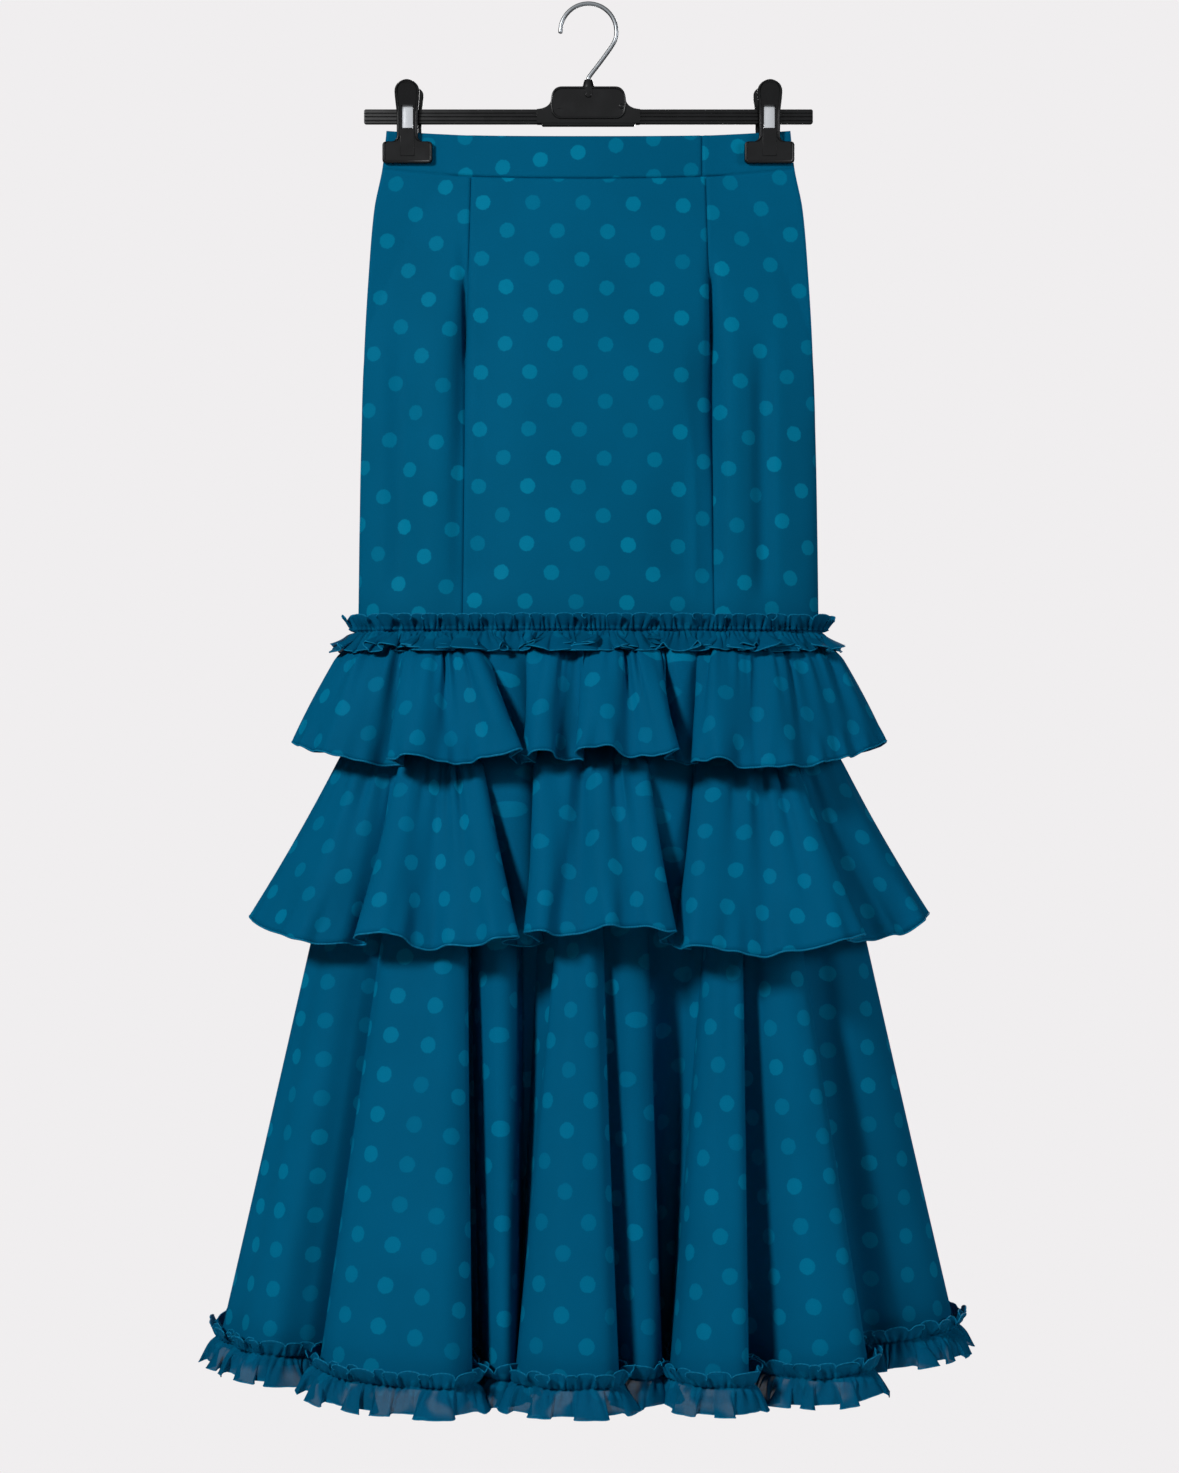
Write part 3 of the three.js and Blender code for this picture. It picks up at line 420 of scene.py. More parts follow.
def readDown(column, z):
    heights, values = bodyRows[:, 0], bodyRows[:, bodyColumns.index(column)]
    last = len(heights) - 1
    z = np.asarray(z, dtype=float)
    at = np.clip(np.searchsorted(-heights, -z, side="right") - 1, 0, last - 1)

    def slope(k):
        high, low = np.maximum(k - 1, 0), np.minimum(k + 1, last)
        return (values[low] - values[high]) / (heights[low] - heights[high])

    span = heights[at + 1] - heights[at]
    t = np.clip((z - heights[at]) / span, 0, 1)
    blend = t * t * (3 - 2 * t)
    bend = slope(at) * span * t * (1 - t) ** 2 + slope(at + 1) * span * t * t * (t - 1)
    return values[at] * (1 - blend) + values[at + 1] * blend + bend


def hollowAt(side, x, z):
    deepest = np.zeros(np.broadcast(side, x, z).shape)
    for rowSide, middle, left, right, depth, start, full in bodyHollows:
        away = np.where(x < middle, (middle - x) / left, (x - middle) / right)
        shape = 0.5 + 0.5 * np.cos(np.pi * np.minimum(away, 1))
        deepest = np.maximum(deepest, depth * shape * smooth(start, full, z) * (side == rowSide))
    return deepest * (1 - smooth(-480, -514, z))


def bodyMiddle(turn, z, side):
    across = np.sin(np.radians(turn))
    x = readDown("halfWidth", z) * across
    share = np.maximum(0, 1 - (across / readDown("open", z)) ** 2)
    stand = readDown("bulge", z) * share ** readDown("power", z)
    y = readDown("lip", z) + np.maximum(0, stand - hollowAt(side, x, z))
    return np.stack(np.broadcast_arrays(x, -side * y, z), axis=-1)


def liftFrom(curve, turn, lift):
    reach = 0.5
    along = curve(turn + reach) - curve(turn - reach)
    return curve(turn) + lift * squareOut(along)


def bodyRing(turn, z, lift):
    sideOf = lambda at: np.where(np.cos(np.radians(at)) < 0, -1, 1)
    return liftFrom(lambda at: bodyMiddle(at, z, sideOf(at)), turn, lift)


def turnAt(x, z, side):
    turn = np.degrees(np.arcsin(np.clip(x / readDown("halfWidth", z), -1, 1)))
    return turn if side > 0 else 180 - turn


# A level line round the waist that dips at the centre
def dip(middleAndSide):
    middle, side = middleAndSide
    half = readDown("halfWidth", middle)
    return lambda x: middle + (side - middle) * np.minimum(1, np.abs(x) / half) ** 2


def creaseAt(side, x, z):
    total = np.zeros(np.broadcast(x, z).shape)
    for rowSide, topX, bottomX, half, depth, top, bottom in bodyCreases:
        if rowSide != side:
            continue
        t = (z - top) / (bottom - top)
        middle = topX + (bottomX - topX) * np.clip(t, 0, 1)
        along = smooth(0, 0.25, t) * (1 - smooth(0.6, 1, t))
        total += depth * along * np.exp(-((x - middle) / half) ** 2)
    return total


# A share from 0 to 1 that steps finely near both ends, where a seam pulls the cloth in
def seamShares(count, width):
    near = np.array([0, 0.35, 0.8, 1.5, 2.5, 4]) / width
    return np.concatenate([near, np.linspace(near[-1], 1 - near[-1], count)[1:-1], 1 - near[::-1]])


def bodyPanel(side, fromX, toX, topOf, bottomOf, columns, rows):
    middleZ = (topOf(0) + bottomOf(0)) / 2
    width = abs(toX(middleZ) - fromX(middleZ))
    shares = seamShares(columns, width)[None, :]
    levels = seamShares(rows, abs(topOf(0) - bottomOf(0)))[:, None]

    def place(z):
        start, end = turnAt(fromX(z), z, side), turnAt(toX(z), z, side)
        return start + (end - start) * shares

    z = topOf(0) + (bottomOf(0) - topOf(0)) * levels
    for _ in range(3):
        x = np.abs(bodyMiddle(place(z), z, side)[..., 0])
        z = topOf(x) + (bottomOf(x) - topOf(x)) * levels
    points = bodyMiddle(place(z), z, side)
    across = runAlong(points, axis=1)
    toEdge = np.minimum(across, across[:, -1:] - across)
    toTop = topOf(x) - z
    toBottom = z - bottomOf(x)
    pull = body["seamDip"] * sum(np.exp(-(d / body["seamWidth"]) ** 2) for d in (toEdge, toTop, toBottom))
    stand = np.abs(points[..., 1])
    keep = np.minimum(creaseAt(side, points[..., 0], z) + np.minimum(pull, body["seamDip"]),
                      np.maximum(stand - 0.05, 0))
    points[..., 1] += side * keep
    uvs = np.stack([across - across[:, -1:] / 2, z], axis=-1)
    return points, uvs


halfAt = lambda z: readDown("halfWidth", z)
princessAt = lambda z: readDown("princess", z)
joinAt = lambda z: body["joinX"] + 0 * z
centreAt = lambda z: 0 * z
onLeft = lambda seam: lambda z: -seam(z)
waistTop, waistSeam = dip(body["waistTop"]), dip(body["waistSeam"])
bodyEnd = lambda x: body["bottom"] + 0 * x


def turned(uvs, degrees, right, up):
    angle = math.radians(degrees)
    spin = np.array([[math.cos(angle), math.sin(angle)], [-math.sin(angle), math.cos(angle)]])
    return uvs @ spin + np.array([right, up])


# name, node, side, its two seams, columns, and the turn and shift of the dots on that cut
waistPieces = [
    ("waistbandFrontLeft", "waistband_front_left", 1, onLeft(halfAt), joinAt, 100, (38, 5, 9)),
    ("waistbandFrontRight", "waistband_front_right", 1, joinAt, halfAt, 36, (38, 17, 2)),
    ("waistbandBack", "waistband_back", -1, halfAt, onLeft(halfAt), 120, (32, 9, 20)),
]
bodyPieces = [
    ("panelSideFrontLeft", "panel_side_front_left", 1, onLeft(halfAt), onLeft(princessAt), 46, (4, 14.5, 8)),
    ("panelCentreFront", "panel_centre_front", 1, onLeft(princessAt), princessAt, 90, (1.0, 1.6, 25)),
    ("panelSideFrontRight", "panel_side_front_right", 1, princessAt, halfAt, 46, (-6, -9, 3)),
    ("panelSideBackRight", "panel_side_back_right", -1, halfAt, princessAt, 46, (5, 6, 11)),
    ("panelCentreBackRight", "panel_centre_back_right", -1, princessAt, centreAt, 50, (0, 12, 4)),
    ("panelCentreBackLeft", "panel_centre_back_left", -1, centreAt, onLeft(princessAt), 50, (1, -10, 17)),
    ("panelSideBackLeft", "panel_side_back_left", -1, onLeft(princessAt), onLeft(halfAt), 46, (-4, 3, 14)),
]


def addPanel(cut, topOf, bottomOf, rows):
    name, node, side, fromX, toX, columns, dots = cut
    points, uvs = bodyPanel(side, fromX, toX, topOf, bottomOf, columns, rows)
    piece = clothShell(name, points, turned(uvs, *dots), body["wall"], [bodyCloth])
    finishCloth(piece, [node])


for cut in waistPieces:
    addPanel(cut, waistTop, waistSeam, body["waistRows"])
for cut in bodyPieces:
    addPanel(cut, waistSeam, bodyEnd, body["rows"])
print("body ready")


flounceLift = 1.65
sideSeam = {"dip": 0.7, "width": 1.3, "fade": 20}
# bow, start and stand say how soon a flounce spreads from its seam and its folds stand out. Each fold has its
# turn on the seam, x and y on the hem, drop, and how far the curve keeps its direction
flounceOne = {
    "seamZ": -529.5, "lift": flounceLift, "bow": 0.22, "start": 0.28, "stand": 0.35,
    "rows": 30, "step": 2.0, "wall": 0.7,
    "folds": [
        (-90, -251, -2, 96, 0.45), (-70, -226, -46, 103, 0.35), (-61, -206, -63, 107, 0.33),
        (-54, -180, -62, 114, 0.30), (-49.5, -153, -58, 116, 0.35), (-46.5, -162, -84, 110, 0.40),
        (-42, -142, -103, 106, 0.40), (-37, -112, -88, 114, 0.33), (-33.5, -82, -97, 109, 0.35),
        (-31, -58, -101, 102, 0.50), (-30.2, -66, -82, 108, 0.40), (-29.2, -58, -63, 113, 0.35),
        (-20, -50, -70, 113, 0.35), (-11.4, -42, -62, 113, 0.30), (-10.4, -50, -86, 107, 0.40),
        (-9.4, -40, -101, 102, 0.40), (-4, -20, -84, 110, 0.33), (0, -2, -80, 111, 0.33),
        (1.5, -10, -94, 105, 0.40), (4, 8, -105, 98, 0.40), (8.5, 36, -92, 108, 0.35),
        (11.5, 54, -98, 107, 0.35), (13.5, 70, -102, 102, 0.50), (14.4, 62, -82, 107, 0.40),
        (15.4, 70, -64, 112, 0.35), (23, 80, -74, 113, 0.35), (31.6, 90, -64, 114, 0.30),
        (32.6, 86, -88, 112, 0.40), (34.2, 104, -103, 109, 0.40), (42.5, 133, -87, 118, 0.33),
        (47, 152, -93, 115, 0.33), (54, 178, -75, 116, 0.33), (64, 206, -54, 110, 0.33),
        (90, 252, -2, 96, 0.45), (104, 229, 36, 106, 0.40), (113, 190, 56, 113, 0.30),
        (119, 182, 86, 108, 0.45), (131, 136, 96, 110, 0.50), (137, 127, 68, 113, 0.30),
        (146, 104, 84, 112, 0.38), (155, 80, 68, 113, 0.30), (160, 70, 100, 104, 0.45),
        (172, 16, 104, 107, 0.50), (177, 6, 72, 112, 0.30), (184, -14, 84, 112, 0.38),
        (191, -36, 69, 113, 0.30), (196, -46, 100, 104, 0.45), (208, -98, 101, 107, 0.50),
        (214, -108, 70, 113, 0.30), (223, -134, 84, 112, 0.38), (232, -158, 62, 113, 0.30),
        (239, -172, 86, 109, 0.45), (256, -226, 42, 106, 0.40),
    ],
    # spacing and depth of the gathers, the share of the drop that they reach, and their phase
    "gathers": [(11, 1.8, 0.3, 0.2), (21, 3.4, 0.5, 1.1), (34, 3.6, 0.8, 2.0), (53, 2.6, 1.1, 0.5)],
    "ripples": [(31, 2.2, 0.3), (17, 0.8, 1.7)],
}
flounceTwo = {
    "seamZ": -613, "lift": flounceLift, "bow": -0.12, "start": 0.12, "stand": 0.25,
    "rows": 36, "step": 2.1, "wall": 0.7,
    "folds": [
        (-90, -287, -2, 160, 0.45), (-72, -262, -46, 170, 0.35), (-63, -234, -72, 176, 0.33),
        (-56, -208, -71, 179, 0.33), (-51.5, -182, -64, 179, 0.35), (-48.5, -191, -94, 172, 0.40),
        (-44, -170, -118, 165, 0.40),
        (-38, -129, -103, 180, 0.33), (-34.5, -98, -118, 176, 0.35), (-32, -60, -126, 168, 0.50),
        (-31, -70, -100, 174, 0.40), (-29.8, -60, -78, 180, 0.35), (-20, -49, -88, 178, 0.35),
        (-11.4, -38, -76, 178, 0.30), (-10.2, -48, -104, 168, 0.40), (-8.8, -38, -128, 163, 0.40),
        (-3, -20, -115, 169, 0.35), (3, 14, -130, 160, 0.35), (7, 40, -124, 160, 0.35),
        (10, 66, -128, 163, 0.50), (11, 58, -102, 172, 0.40), (12.2, 66, -78, 178, 0.35),
        (20, 74, -88, 178, 0.35), (30, 82, -76, 181, 0.35), (31.4, 72, -106, 178, 0.40),
        (33.4, 88, -126, 176, 0.40), (44, 142, -113, 185, 0.35), (49, 180, -118, 178, 0.35),
        (53.5, 222, -106, 168, 0.50), (55, 212, -84, 174, 0.40), (57, 222, -60, 178, 0.35),
        (68, 254, -44, 174, 0.38), (90, 289, -2, 158, 0.45),
        (102, 258, 40, 171, 0.40), (112, 212, 68, 179, 0.30), (118, 206, 104, 172, 0.45),
        (130, 146, 118, 175, 0.50), (136, 134, 84, 180, 0.30), (146, 108, 98, 178, 0.38),
        (155, 86, 84, 180, 0.30), (160, 76, 126, 168, 0.45), (172, 14, 130, 169, 0.50),
        (177, 4, 88, 180, 0.30), (184, -16, 98, 178, 0.38), (191, -38, 86, 180, 0.30),
        (196, -48, 126, 168, 0.45), (208, -110, 122, 171, 0.50), (214, -120, 84, 180, 0.30),
        (223, -146, 98, 178, 0.38), (232, -170, 78, 180, 0.30), (239, -192, 104, 172, 0.45),
        (255, -258, 52, 171, 0.40),
    ],
    "gathers": [(15, 1.4, 0.24, 1.2), (26, 3.0, 0.42, 0.4), (42, 3.6, 0.7, 2.6), (66, 3.0, 1.1, 0.9)],
    "ripples": [(39, 2.4, 1.3), (21, 0.8, 0.4)],
}
flounceThree = {
    "seamZ": -621.45, "lift": 0, "bow": -0.02, "start": 0.01, "stand": 0.35,
    "rows": 46, "step": 2.6, "wall": 0.7, "trimLine": -1138.8, "trimRise": 9,
    "folds": [
        (-90, -311, -2, 509, 0.45), (-74, -296, -42, 513, 0.38), (-62, -266, -76, 516, 0.36),
        (-54, -236, -72, 516, 0.33), (-50, -210, -62, 516, 0.35), (-48.6, -219, -96, 516, 0.40),
        (-46, -198, -128, 516, 0.40), (-38, -140, -147, 516, 0.42), (-32.2, -97, -143, 516, 0.50),
        (-31.4, -105, -108, 516, 0.40), (-30.5, -94, -58, 516, 0.35), (-29.3, -84, -92, 516, 0.40),
        (-24, -70, -124, 516, 0.42), (-18.6, -58, -106, 516, 0.40), (-17.2, -55, -56, 516, 0.35),
        (-9, -57, -50, 516, 0.35), (-2.8, -59, -104, 516, 0.40), (-1.8, -47, -143, 516, 0.42),
        (-0.8, 0, -153, 516, 0.45), (0.4, 23, -140, 516, 0.50), (1.6, 18, -102, 516, 0.40),
        (6.5, 42, -122, 516, 0.42), (11.6, 57, -110, 516, 0.40), (12.8, 57, -82, 516, 0.38),
        (23, 63, -48, 516, 0.35), (34.4, 66, -84, 516, 0.38), (35.3, 68, -114, 516, 0.40),
        (36.1, 83, -140, 516, 0.42), (37.2, 110, -149, 516, 0.40), (38.2, 126, -138, 516, 0.50),
        (39, 118, -100, 516, 0.40), (40.2, 133, -90, 516, 0.35), (43.5, 166, -120, 516, 0.40),
        (47, 206, -128, 516, 0.45), (49.6, 227, -110, 516, 0.50), (50.8, 213, -76, 516, 0.40),
        (56, 225, -48, 516, 0.35),
        (67, 268, -50, 514, 0.38), (90, 312, -2, 508, 0.45),
        (101, 286, 48, 512, 0.40), (110, 238, 74, 516, 0.30), (117, 226, 120, 516, 0.45),
        (130, 148, 140, 516, 0.50), (136, 134, 94, 516, 0.30), (146, 108, 114, 516, 0.42),
        (155, 84, 93, 516, 0.30), (161, 72, 142, 516, 0.45), (172, 6, 149, 516, 0.50),
        (177, -6, 96, 516, 0.30), (184, -28, 116, 516, 0.42), (191, -50, 94, 516, 0.30),
        (197, -64, 144, 516, 0.45), (209, -136, 140, 516, 0.50), (215, -148, 92, 516, 0.30),
        (224, -174, 112, 516, 0.42), (232, -198, 86, 516, 0.30), (239, -222, 116, 516, 0.45),
        (255, -286, 58, 513, 0.40),
    ],
    "gathers": [(19, 0.8, 0.15, 0.7), (37, 1.4, 0.4, 1.9), (71, 2.2, 1.1, 0.3)],
    "ripples": [],
}


# The hem's place and the drop to it at these turns, on a smooth curve through the folds
def hemAt(folds, turns):
    table = np.array(folds, dtype=float)
    count = len(table)
    starts = table[:, 0]
    ends = np.append(starts[1:], starts[0] + 360)
    around = starts[0] + np.mod(turns - starts[0], 360)
    at = np.searchsorted(starts, around, side="right") - 1
    share = (around - starts[at]) / (ends[at] - starts[at])
    places = table[:, 1:3]
    row = lambda k: np.mod(k, count)

    def heading(k):
        return unit(places[row(k + 1)] - places[row(k - 1)])

    first, last = places[at], places[row(at + 1)]
    chord = np.linalg.norm(last - first, axis=1)
    leave = first + heading(at) * (table[at, 4] * chord)[:, None]
    arrive = last - heading(at + 1) * (table[row(at + 1), 4] * chord)[:, None]
    t = share[:, None]
    spot = first * (1 - t) ** 3 + 3 * leave * t * (1 - t) ** 2 + 3 * arrive * t * t * (1 - t) + last * t ** 3
    blend = smooth(0, 1, share)
    drop = table[at, 3] * (1 - blend) + table[row(at + 1), 3] * blend
    return spot, drop


def flounceTurns(flounce):
    folds = flounce["folds"]
    turns = []
    for i, row in enumerate(folds):
        after = folds[(i + 1) % len(folds)]
        end = after[0] + (360 if i + 1 == len(folds) else 0)
        steps = max(4, math.ceil(math.hypot(after[1] - row[1], after[2] - row[2]) / flounce["step"]))
        turns.append(row[0] + (end - row[0]) * np.arange(steps) / steps)
    return np.concatenate(turns)


# An uneven wave: its spacing drifts and its depth comes and goes along the cloth
def unevenWave(along, spacing, start):
    drift = 0.9 * np.sin(2 * np.pi * along / (spacing * 5.3) + start) + 0.5 * np.sin(along / (spacing * 1.9))
    swell = 0.72 + 0.28 * np.sin(2 * np.pi * along / (spacing * 3.7) + 2 * start)
    return swell * np.sin(2 * np.pi * along / spacing + drift + start)


# The share of its full rise by which the hem's trim climbs towards the sides, more so on the right
def sideRise(x):
    return smooth(140, 290, np.abs(x)) + 0.8 * smooth(200, 280, x)


# A flounce's hem and its fall from the seam. The last flounce reaches just past the thread of its trim
def hemAndDrop(flounce, turns):
    hem, drop = hemAt(flounce["folds"], turns)
    if "trimLine" in flounce:
        thread = flounce["trimLine"] + flounce["trimRise"] * sideRise(hem[:, 0])
        drop = np.maximum(drop, flounce["seamZ"] - thread)
    return hem, drop


# Points of a flounce at these turns, at shares of its fall from the seam. Its gathers stand out below the
# seam and fade, and its hem ripples, rising where it stands out
def flouncePoints(flounce, turns, fall):
    if "run" not in flounce:
        fine = np.append(flounceTurns(flounce), 270.0)
        hem, _ = hemAt(flounce["folds"], fine)
        flounce["run"] = (fine, runAlong(hem))
    run = np.interp(turns, *flounce["run"])
    offSeam = smooth(0, sideSeam["fade"], np.minimum(run, flounce["run"][1][-1] - run))
    seam = bodyRing(turns, flounce["seamZ"], flounce["lift"])
    hem, drop = hemAndDrop(flounce, turns)
    spread = (fall * (1 + flounce["bow"] * (1 - fall)) * smooth(-0.02, flounce["start"], fall))[..., None]
    spread = spread * np.array([1, 1 + flounce["stand"]]) ** (1 - fall[..., None])
    level = seam[None, :, :2] * (1 - spread) + hem[None] * spread
    z = flounce["seamZ"] - drop[None] * fall
    out = squareOut(np.gradient(level, axis=1))[..., :2]
    push = np.zeros_like(z)
    atSides = 0.3 + 0.7 * np.abs(np.cos(np.radians(turns)))
    for spacing, depth, reach, start in flounce["gathers"]:
        wave = unevenWave(run, spacing, start)[None]
        push += depth * (0.75 + wave) * smooth(0.03, 0.2, fall) * np.exp(-(fall / reach) ** 2) * atSides
    for spacing, depth, start in flounce["ripples"]:
        wave = depth * unevenWave(run, spacing, start)[None] * offSeam
        push += wave * smooth(0.7, 1, fall)
        z = z + 0.6 * wave * smooth(0.75, 1, fall)
    level = level + out * (push * offSeam)[..., None]
    return np.concatenate([level, z[..., None]], axis=2)


# The flat cut of a flounce is part of a ring, so its dots turn with it
def flounceUvs(points):
    run, down = runAlong(points, axis=1), runAlong(points)
    seamLength, hemLength, slant = run[0, -1], run[-1, -1], down[-1].mean()
    inner = max(seamLength * slant / max(hemLength - seamLength, 1), 60)
    angle = (run[-1] - hemLength / 2) / (inner + slant)
    radius = inner + down
    return np.stack([radius * np.sin(angle)[None], -radius * np.cos(angle)[None]], axis=-1)


def addFlounce(name, nodeName, flounce, dots):
    turns = flounceTurns(flounce)
    falls = np.linspace(0, 1, flounce["rows"])
    points = flouncePoints(flounce, np.append(turns, turns[0] + 360), falls[:, None])
    right = int(np.argmin(np.abs(turns - 90)))
    for half, grid in (("Front", points[:, :right + 1]), ("Back", points[:, right:])):
        toSide = np.minimum(*[np.linalg.norm(grid - grid[:, [k]], axis=2) for k in (0, -1)])
        pull = sideSeam["dip"] * np.exp(-(toSide / sideSeam["width"]) ** 2)[..., None]
        grid = grid - outward(grid) * pull
        uvs = turned(flounceUvs(grid), *dots[half])
        piece = clothShell(name + half, grid, uvs, flounce["wall"], [flounceCloth, edgeThread],
                           edges=[flounce["rows"] - 1] if name != "flounceThree" else [])
        finishCloth(piece, [f"{nodeName}_{half.lower()}"])


addFlounce("flounceOne", "flounce_1", flounceOne, {"Front": (0, 8, 12), "Back": (0, 20, 5)})
addFlounce("flounceTwo", "flounce_2", flounceTwo, {"Front": (0, 15, 3), "Back": (0, 2, 19)})
addFlounce("flounceThree", "flounce_3", flounceThree, {"Front": (0, 6, 7), "Back": (0, 25, 14)})
print("flounces ready")


# Each edge has the spacing of its flutes, how deep they stand, how they curl sideways, dip, puff out at the
# thread and flare, how square they are, and the seed of their unevenness
headingTrim = {
    "top": -520, "gather": -533, "bottom": -548, "lift": 1.3, "step": 0.75, "rows": (11, 11),
    "wall": 0.45, "pleat": 9.2, "pleatDepth": 2.6, "rise": 0,
    "upper": {"spacing": 10.5, "depth": 7.5, "curl": 3.8, "dip": 5.6, "puff": 1.6, "flare": 4.0,
              "square": 1.6, "seed": 3},
    "lower": {"spacing": 15, "depth": 9, "curl": 5.0, "dip": 8.5, "puff": 2.4, "flare": 1.5,
              "square": 1.7, "seed": 8},
}
hemTrim = {
    "top": -1125, "gather": -1137, "bottom": -1157, "lift": 0.95, "step": 1.3, "rows": (8, 12),
    "wall": 0.45, "pleat": 11, "pleatDepth": 3.2, "rise": flounceThree["trimRise"],
    "upper": {"spacing": 11, "depth": 7.5, "curl": 4.2, "dip": 6.4, "puff": 1.8, "flare": 4.0,
              "square": 1.6, "seed": 5},
    "lower": {"spacing": 14, "depth": 9.5, "curl": 5.8, "dip": 2.2, "puff": 2.8, "flare": 4.5,
              "square": 2.1, "seed": 12},
}


# The turns at which a ring of points would stand at even steps
def evenTurns(ringOf, step):
    coarse = np.linspace(-90, 270, 36001)
    ring = ringOf(coarse)
    run = runAlong(ring)
    count = int(run[-1] / step)
    return np.interp(np.linspace(0, run[-1], count + 1), run, coarse), run[-1]


# Flutes of uneven width: half a turn of phase for each, how deep each one is and which way it leans
def unevenFlutes(run, spacing, seed):
    chance = np.random.default_rng(seed)
    ends = np.cumsum(np.append(0, spacing * chance.uniform(0.45, 1.6, int(1.4 * run[-1] / spacing) + 4)))
    depths, leans = chance.uniform(0.45, 1.15, len(ends)), chance.uniform(-1, 1, len(ends))
    phase = np.pi * np.interp(run, ends, np.arange(len(ends)))
    return phase, np.interp(run, ends, depths), np.interp(run, ends, leans)


# A strip drawn up along a gathering thread. It is pleated finely at the thread, and its two free edges
# curl in and out, the curl growing towards the edge
def addFrill(name, nodeName, trim, levelRing):
    turns, length = evenTurns(lambda t: levelRing(t, trim["gather"]), trim["step"])
    upperRows, lowerRows = trim["rows"]
    ups = np.linspace(1, 0, upperRows + 1)[:-1]
    lows = np.linspace(0, 1, lowerRows + 1)
    run = np.linspace(0, length, len(turns))
    levels = ([(share, trim["upper"], trim["top"]) for share in ups]
              + [(share, trim["lower"], trim["bottom"]) for share in lows])
    rows = []
    for share, edge, end in levels:
        z = trim["gather"] + (end - trim["gather"]) * share
        base = levelRing(turns, z)
        if trim["rise"]:
            base = levelRing(turns, z + trim["rise"] * sideRise(base[:, 0]))
        along = unit(np.gradient(base, axis=0))
        out = np.stack([along[:, 1], -along[:, 0], np.zeros(len(along))], axis=-1)
        phase, size, lean = unevenFlutes(run, edge["spacing"], edge["seed"])
        stand = 0.5 + 0.5 * np.tanh(edge["square"] * (np.sin(phase) + 0.25))
        # the edge of a square flute steps with it, and a round one's is scalloped
        loop = stand if edge["square"] > 2 else np.abs(np.sin(phase))
        twist = np.sin(2 * phase) + 0.9 * lean
        pinch = trim["pleatDepth"] * (0.1 + 0.9 * np.exp(-(share / 0.55) ** 2)) * smooth(0, 0.15, share)
        pleat = (pinch + 0.3) * (2 * np.abs(unevenWave(run, trim["pleat"], edge["seed"])) ** 0.7 - 1)
        lift = (trim["lift"] + pleat + edge["puff"] * (1 - np.exp(-share / 0.16))
                + share ** 0.7 * edge["depth"] * size * stand + share * edge["flare"])
        sideways = share * edge["curl"] * size * twist
        point = base + out * lift[:, None] - along * sideways[:, None]
        reach = edge["dip"] * share ** 1.5 * (loop - 0.7) * size
        point[:, 2] += reach if end > trim["gather"] else -reach
        rows.append(point)
    points = np.stack(rows)
    down = np.array([(end - trim["gather"]) * share for share, _, end in levels])
    uvs = np.stack(np.broadcast_arrays(run[None] * 1.6, down[:, None]), axis=-1)
    right = int(np.argmin(np.abs(turns - 90)))
    for half, part in [("Front", slice(0, right + 1)), ("Back", slice(right, None))]:
        grid = points[:, part]
        piece = clothShell(name + half, grid, uvs[:, part], trim["wall"], [trimCloth, edgeThread],
                           edges=[0, len(points) - 1], edgeRadius=0.55)
        finishCloth(piece, [f"{nodeName}_{half.lower()}"])


# Where the cloth of a flounce, or of the body above it, passes a height
def ringOn(flounce):
    def ring(turns, z):
        if np.max(z) > flounce["seamZ"]:
            return bodyRing(turns, z, 0)
        _, drop = hemAndDrop(flounce, turns)
        fall = np.minimum((flounce["seamZ"] - z) / drop, 1)[None]
        points = flouncePoints(flounce, turns, fall)[0]
        points[:, 2] = z
        return points
    return ring


addFrill("headingTrim", "heading_trim", headingTrim, ringOn(flounceOne))
addFrill("hemTrim", "hem_trim", hemTrim, ringOn(flounceThree))
print("trims ready")


# One solid from stacked closed loops of points, the first and the last of them filled
def loftLoops(loops):
    loops = np.asarray(loops, dtype=float)
    levels, count = loops.shape[:2]
    grid = np.arange(levels * count).reshape(levels, count)
    a, b = grid[:-1], grid[1:]
    quads = np.stack([a, np.roll(a, -1, axis=1), np.roll(b, -1, axis=1), b], axis=-1).reshape(-1, 4)
    return loops.reshape(-1, 3), quads.tolist() + [grid[0, ::-1].tolist(), grid[-1].tolist()]


def turnFacesOut(mesh):
    shape = bmesh.new()
    shape.from_mesh(mesh)
    bmesh.ops.recalc_face_normals(shape, faces=shape.faces)
    shape.to_mesh(mesh)
    shape.free()


# Joins solids into one piece, with their faces turned out and their edges slightly rounded
def hardPiece(name, solids, material, nodes, bevel=0.0, sharp=40):
    verts, faces = [], []
    for solidVerts, solidFaces in solids:
        faces += [[len(verts) + k for k in face] for face in solidFaces]
        verts += [list(v) for v in solidVerts]
    piece = makeMesh(name, np.array(verts), faces, None, [material])
    turnFacesOut(piece.data)
    if bevel:
        rounding = piece.modifiers.new("edges", "BEVEL")
        rounding.width = bevel * mm
        rounding.segments = 2
        rounding.limit_method = "ANGLE"
        rounding.angle_limit = math.radians(30)
        rounding.use_clamp_overlap = True
    piece.data.set_sharp_from_angle(angle=math.radians(sharp))
    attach(piece, "root")
    if nodes:
        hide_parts(*nodes)
    return piece


def applyModifiers(piece):
    evaluated = piece.evaluated_get(bpy.context.evaluated_depsgraph_get())
    mesh = bpy.data.meshes.new_from_object(evaluated)
    piece.modifiers.clear()
    piece.data = mesh
    return piece


def slabXZ(outline, front, back):
    points = np.array(outline, dtype=float)
    return loftLoops([np.stack([points[:, 0], np.full(len(points), y), points[:, 1]], axis=1)
                      for y in (front, back)])


def arc(centre, radius, start, end, count):
    turns = np.radians(np.linspace(start, end, count))
    return [(centre[0] + radius * math.cos(t), centre[1] + radius * math.sin(t)) for t in turns]


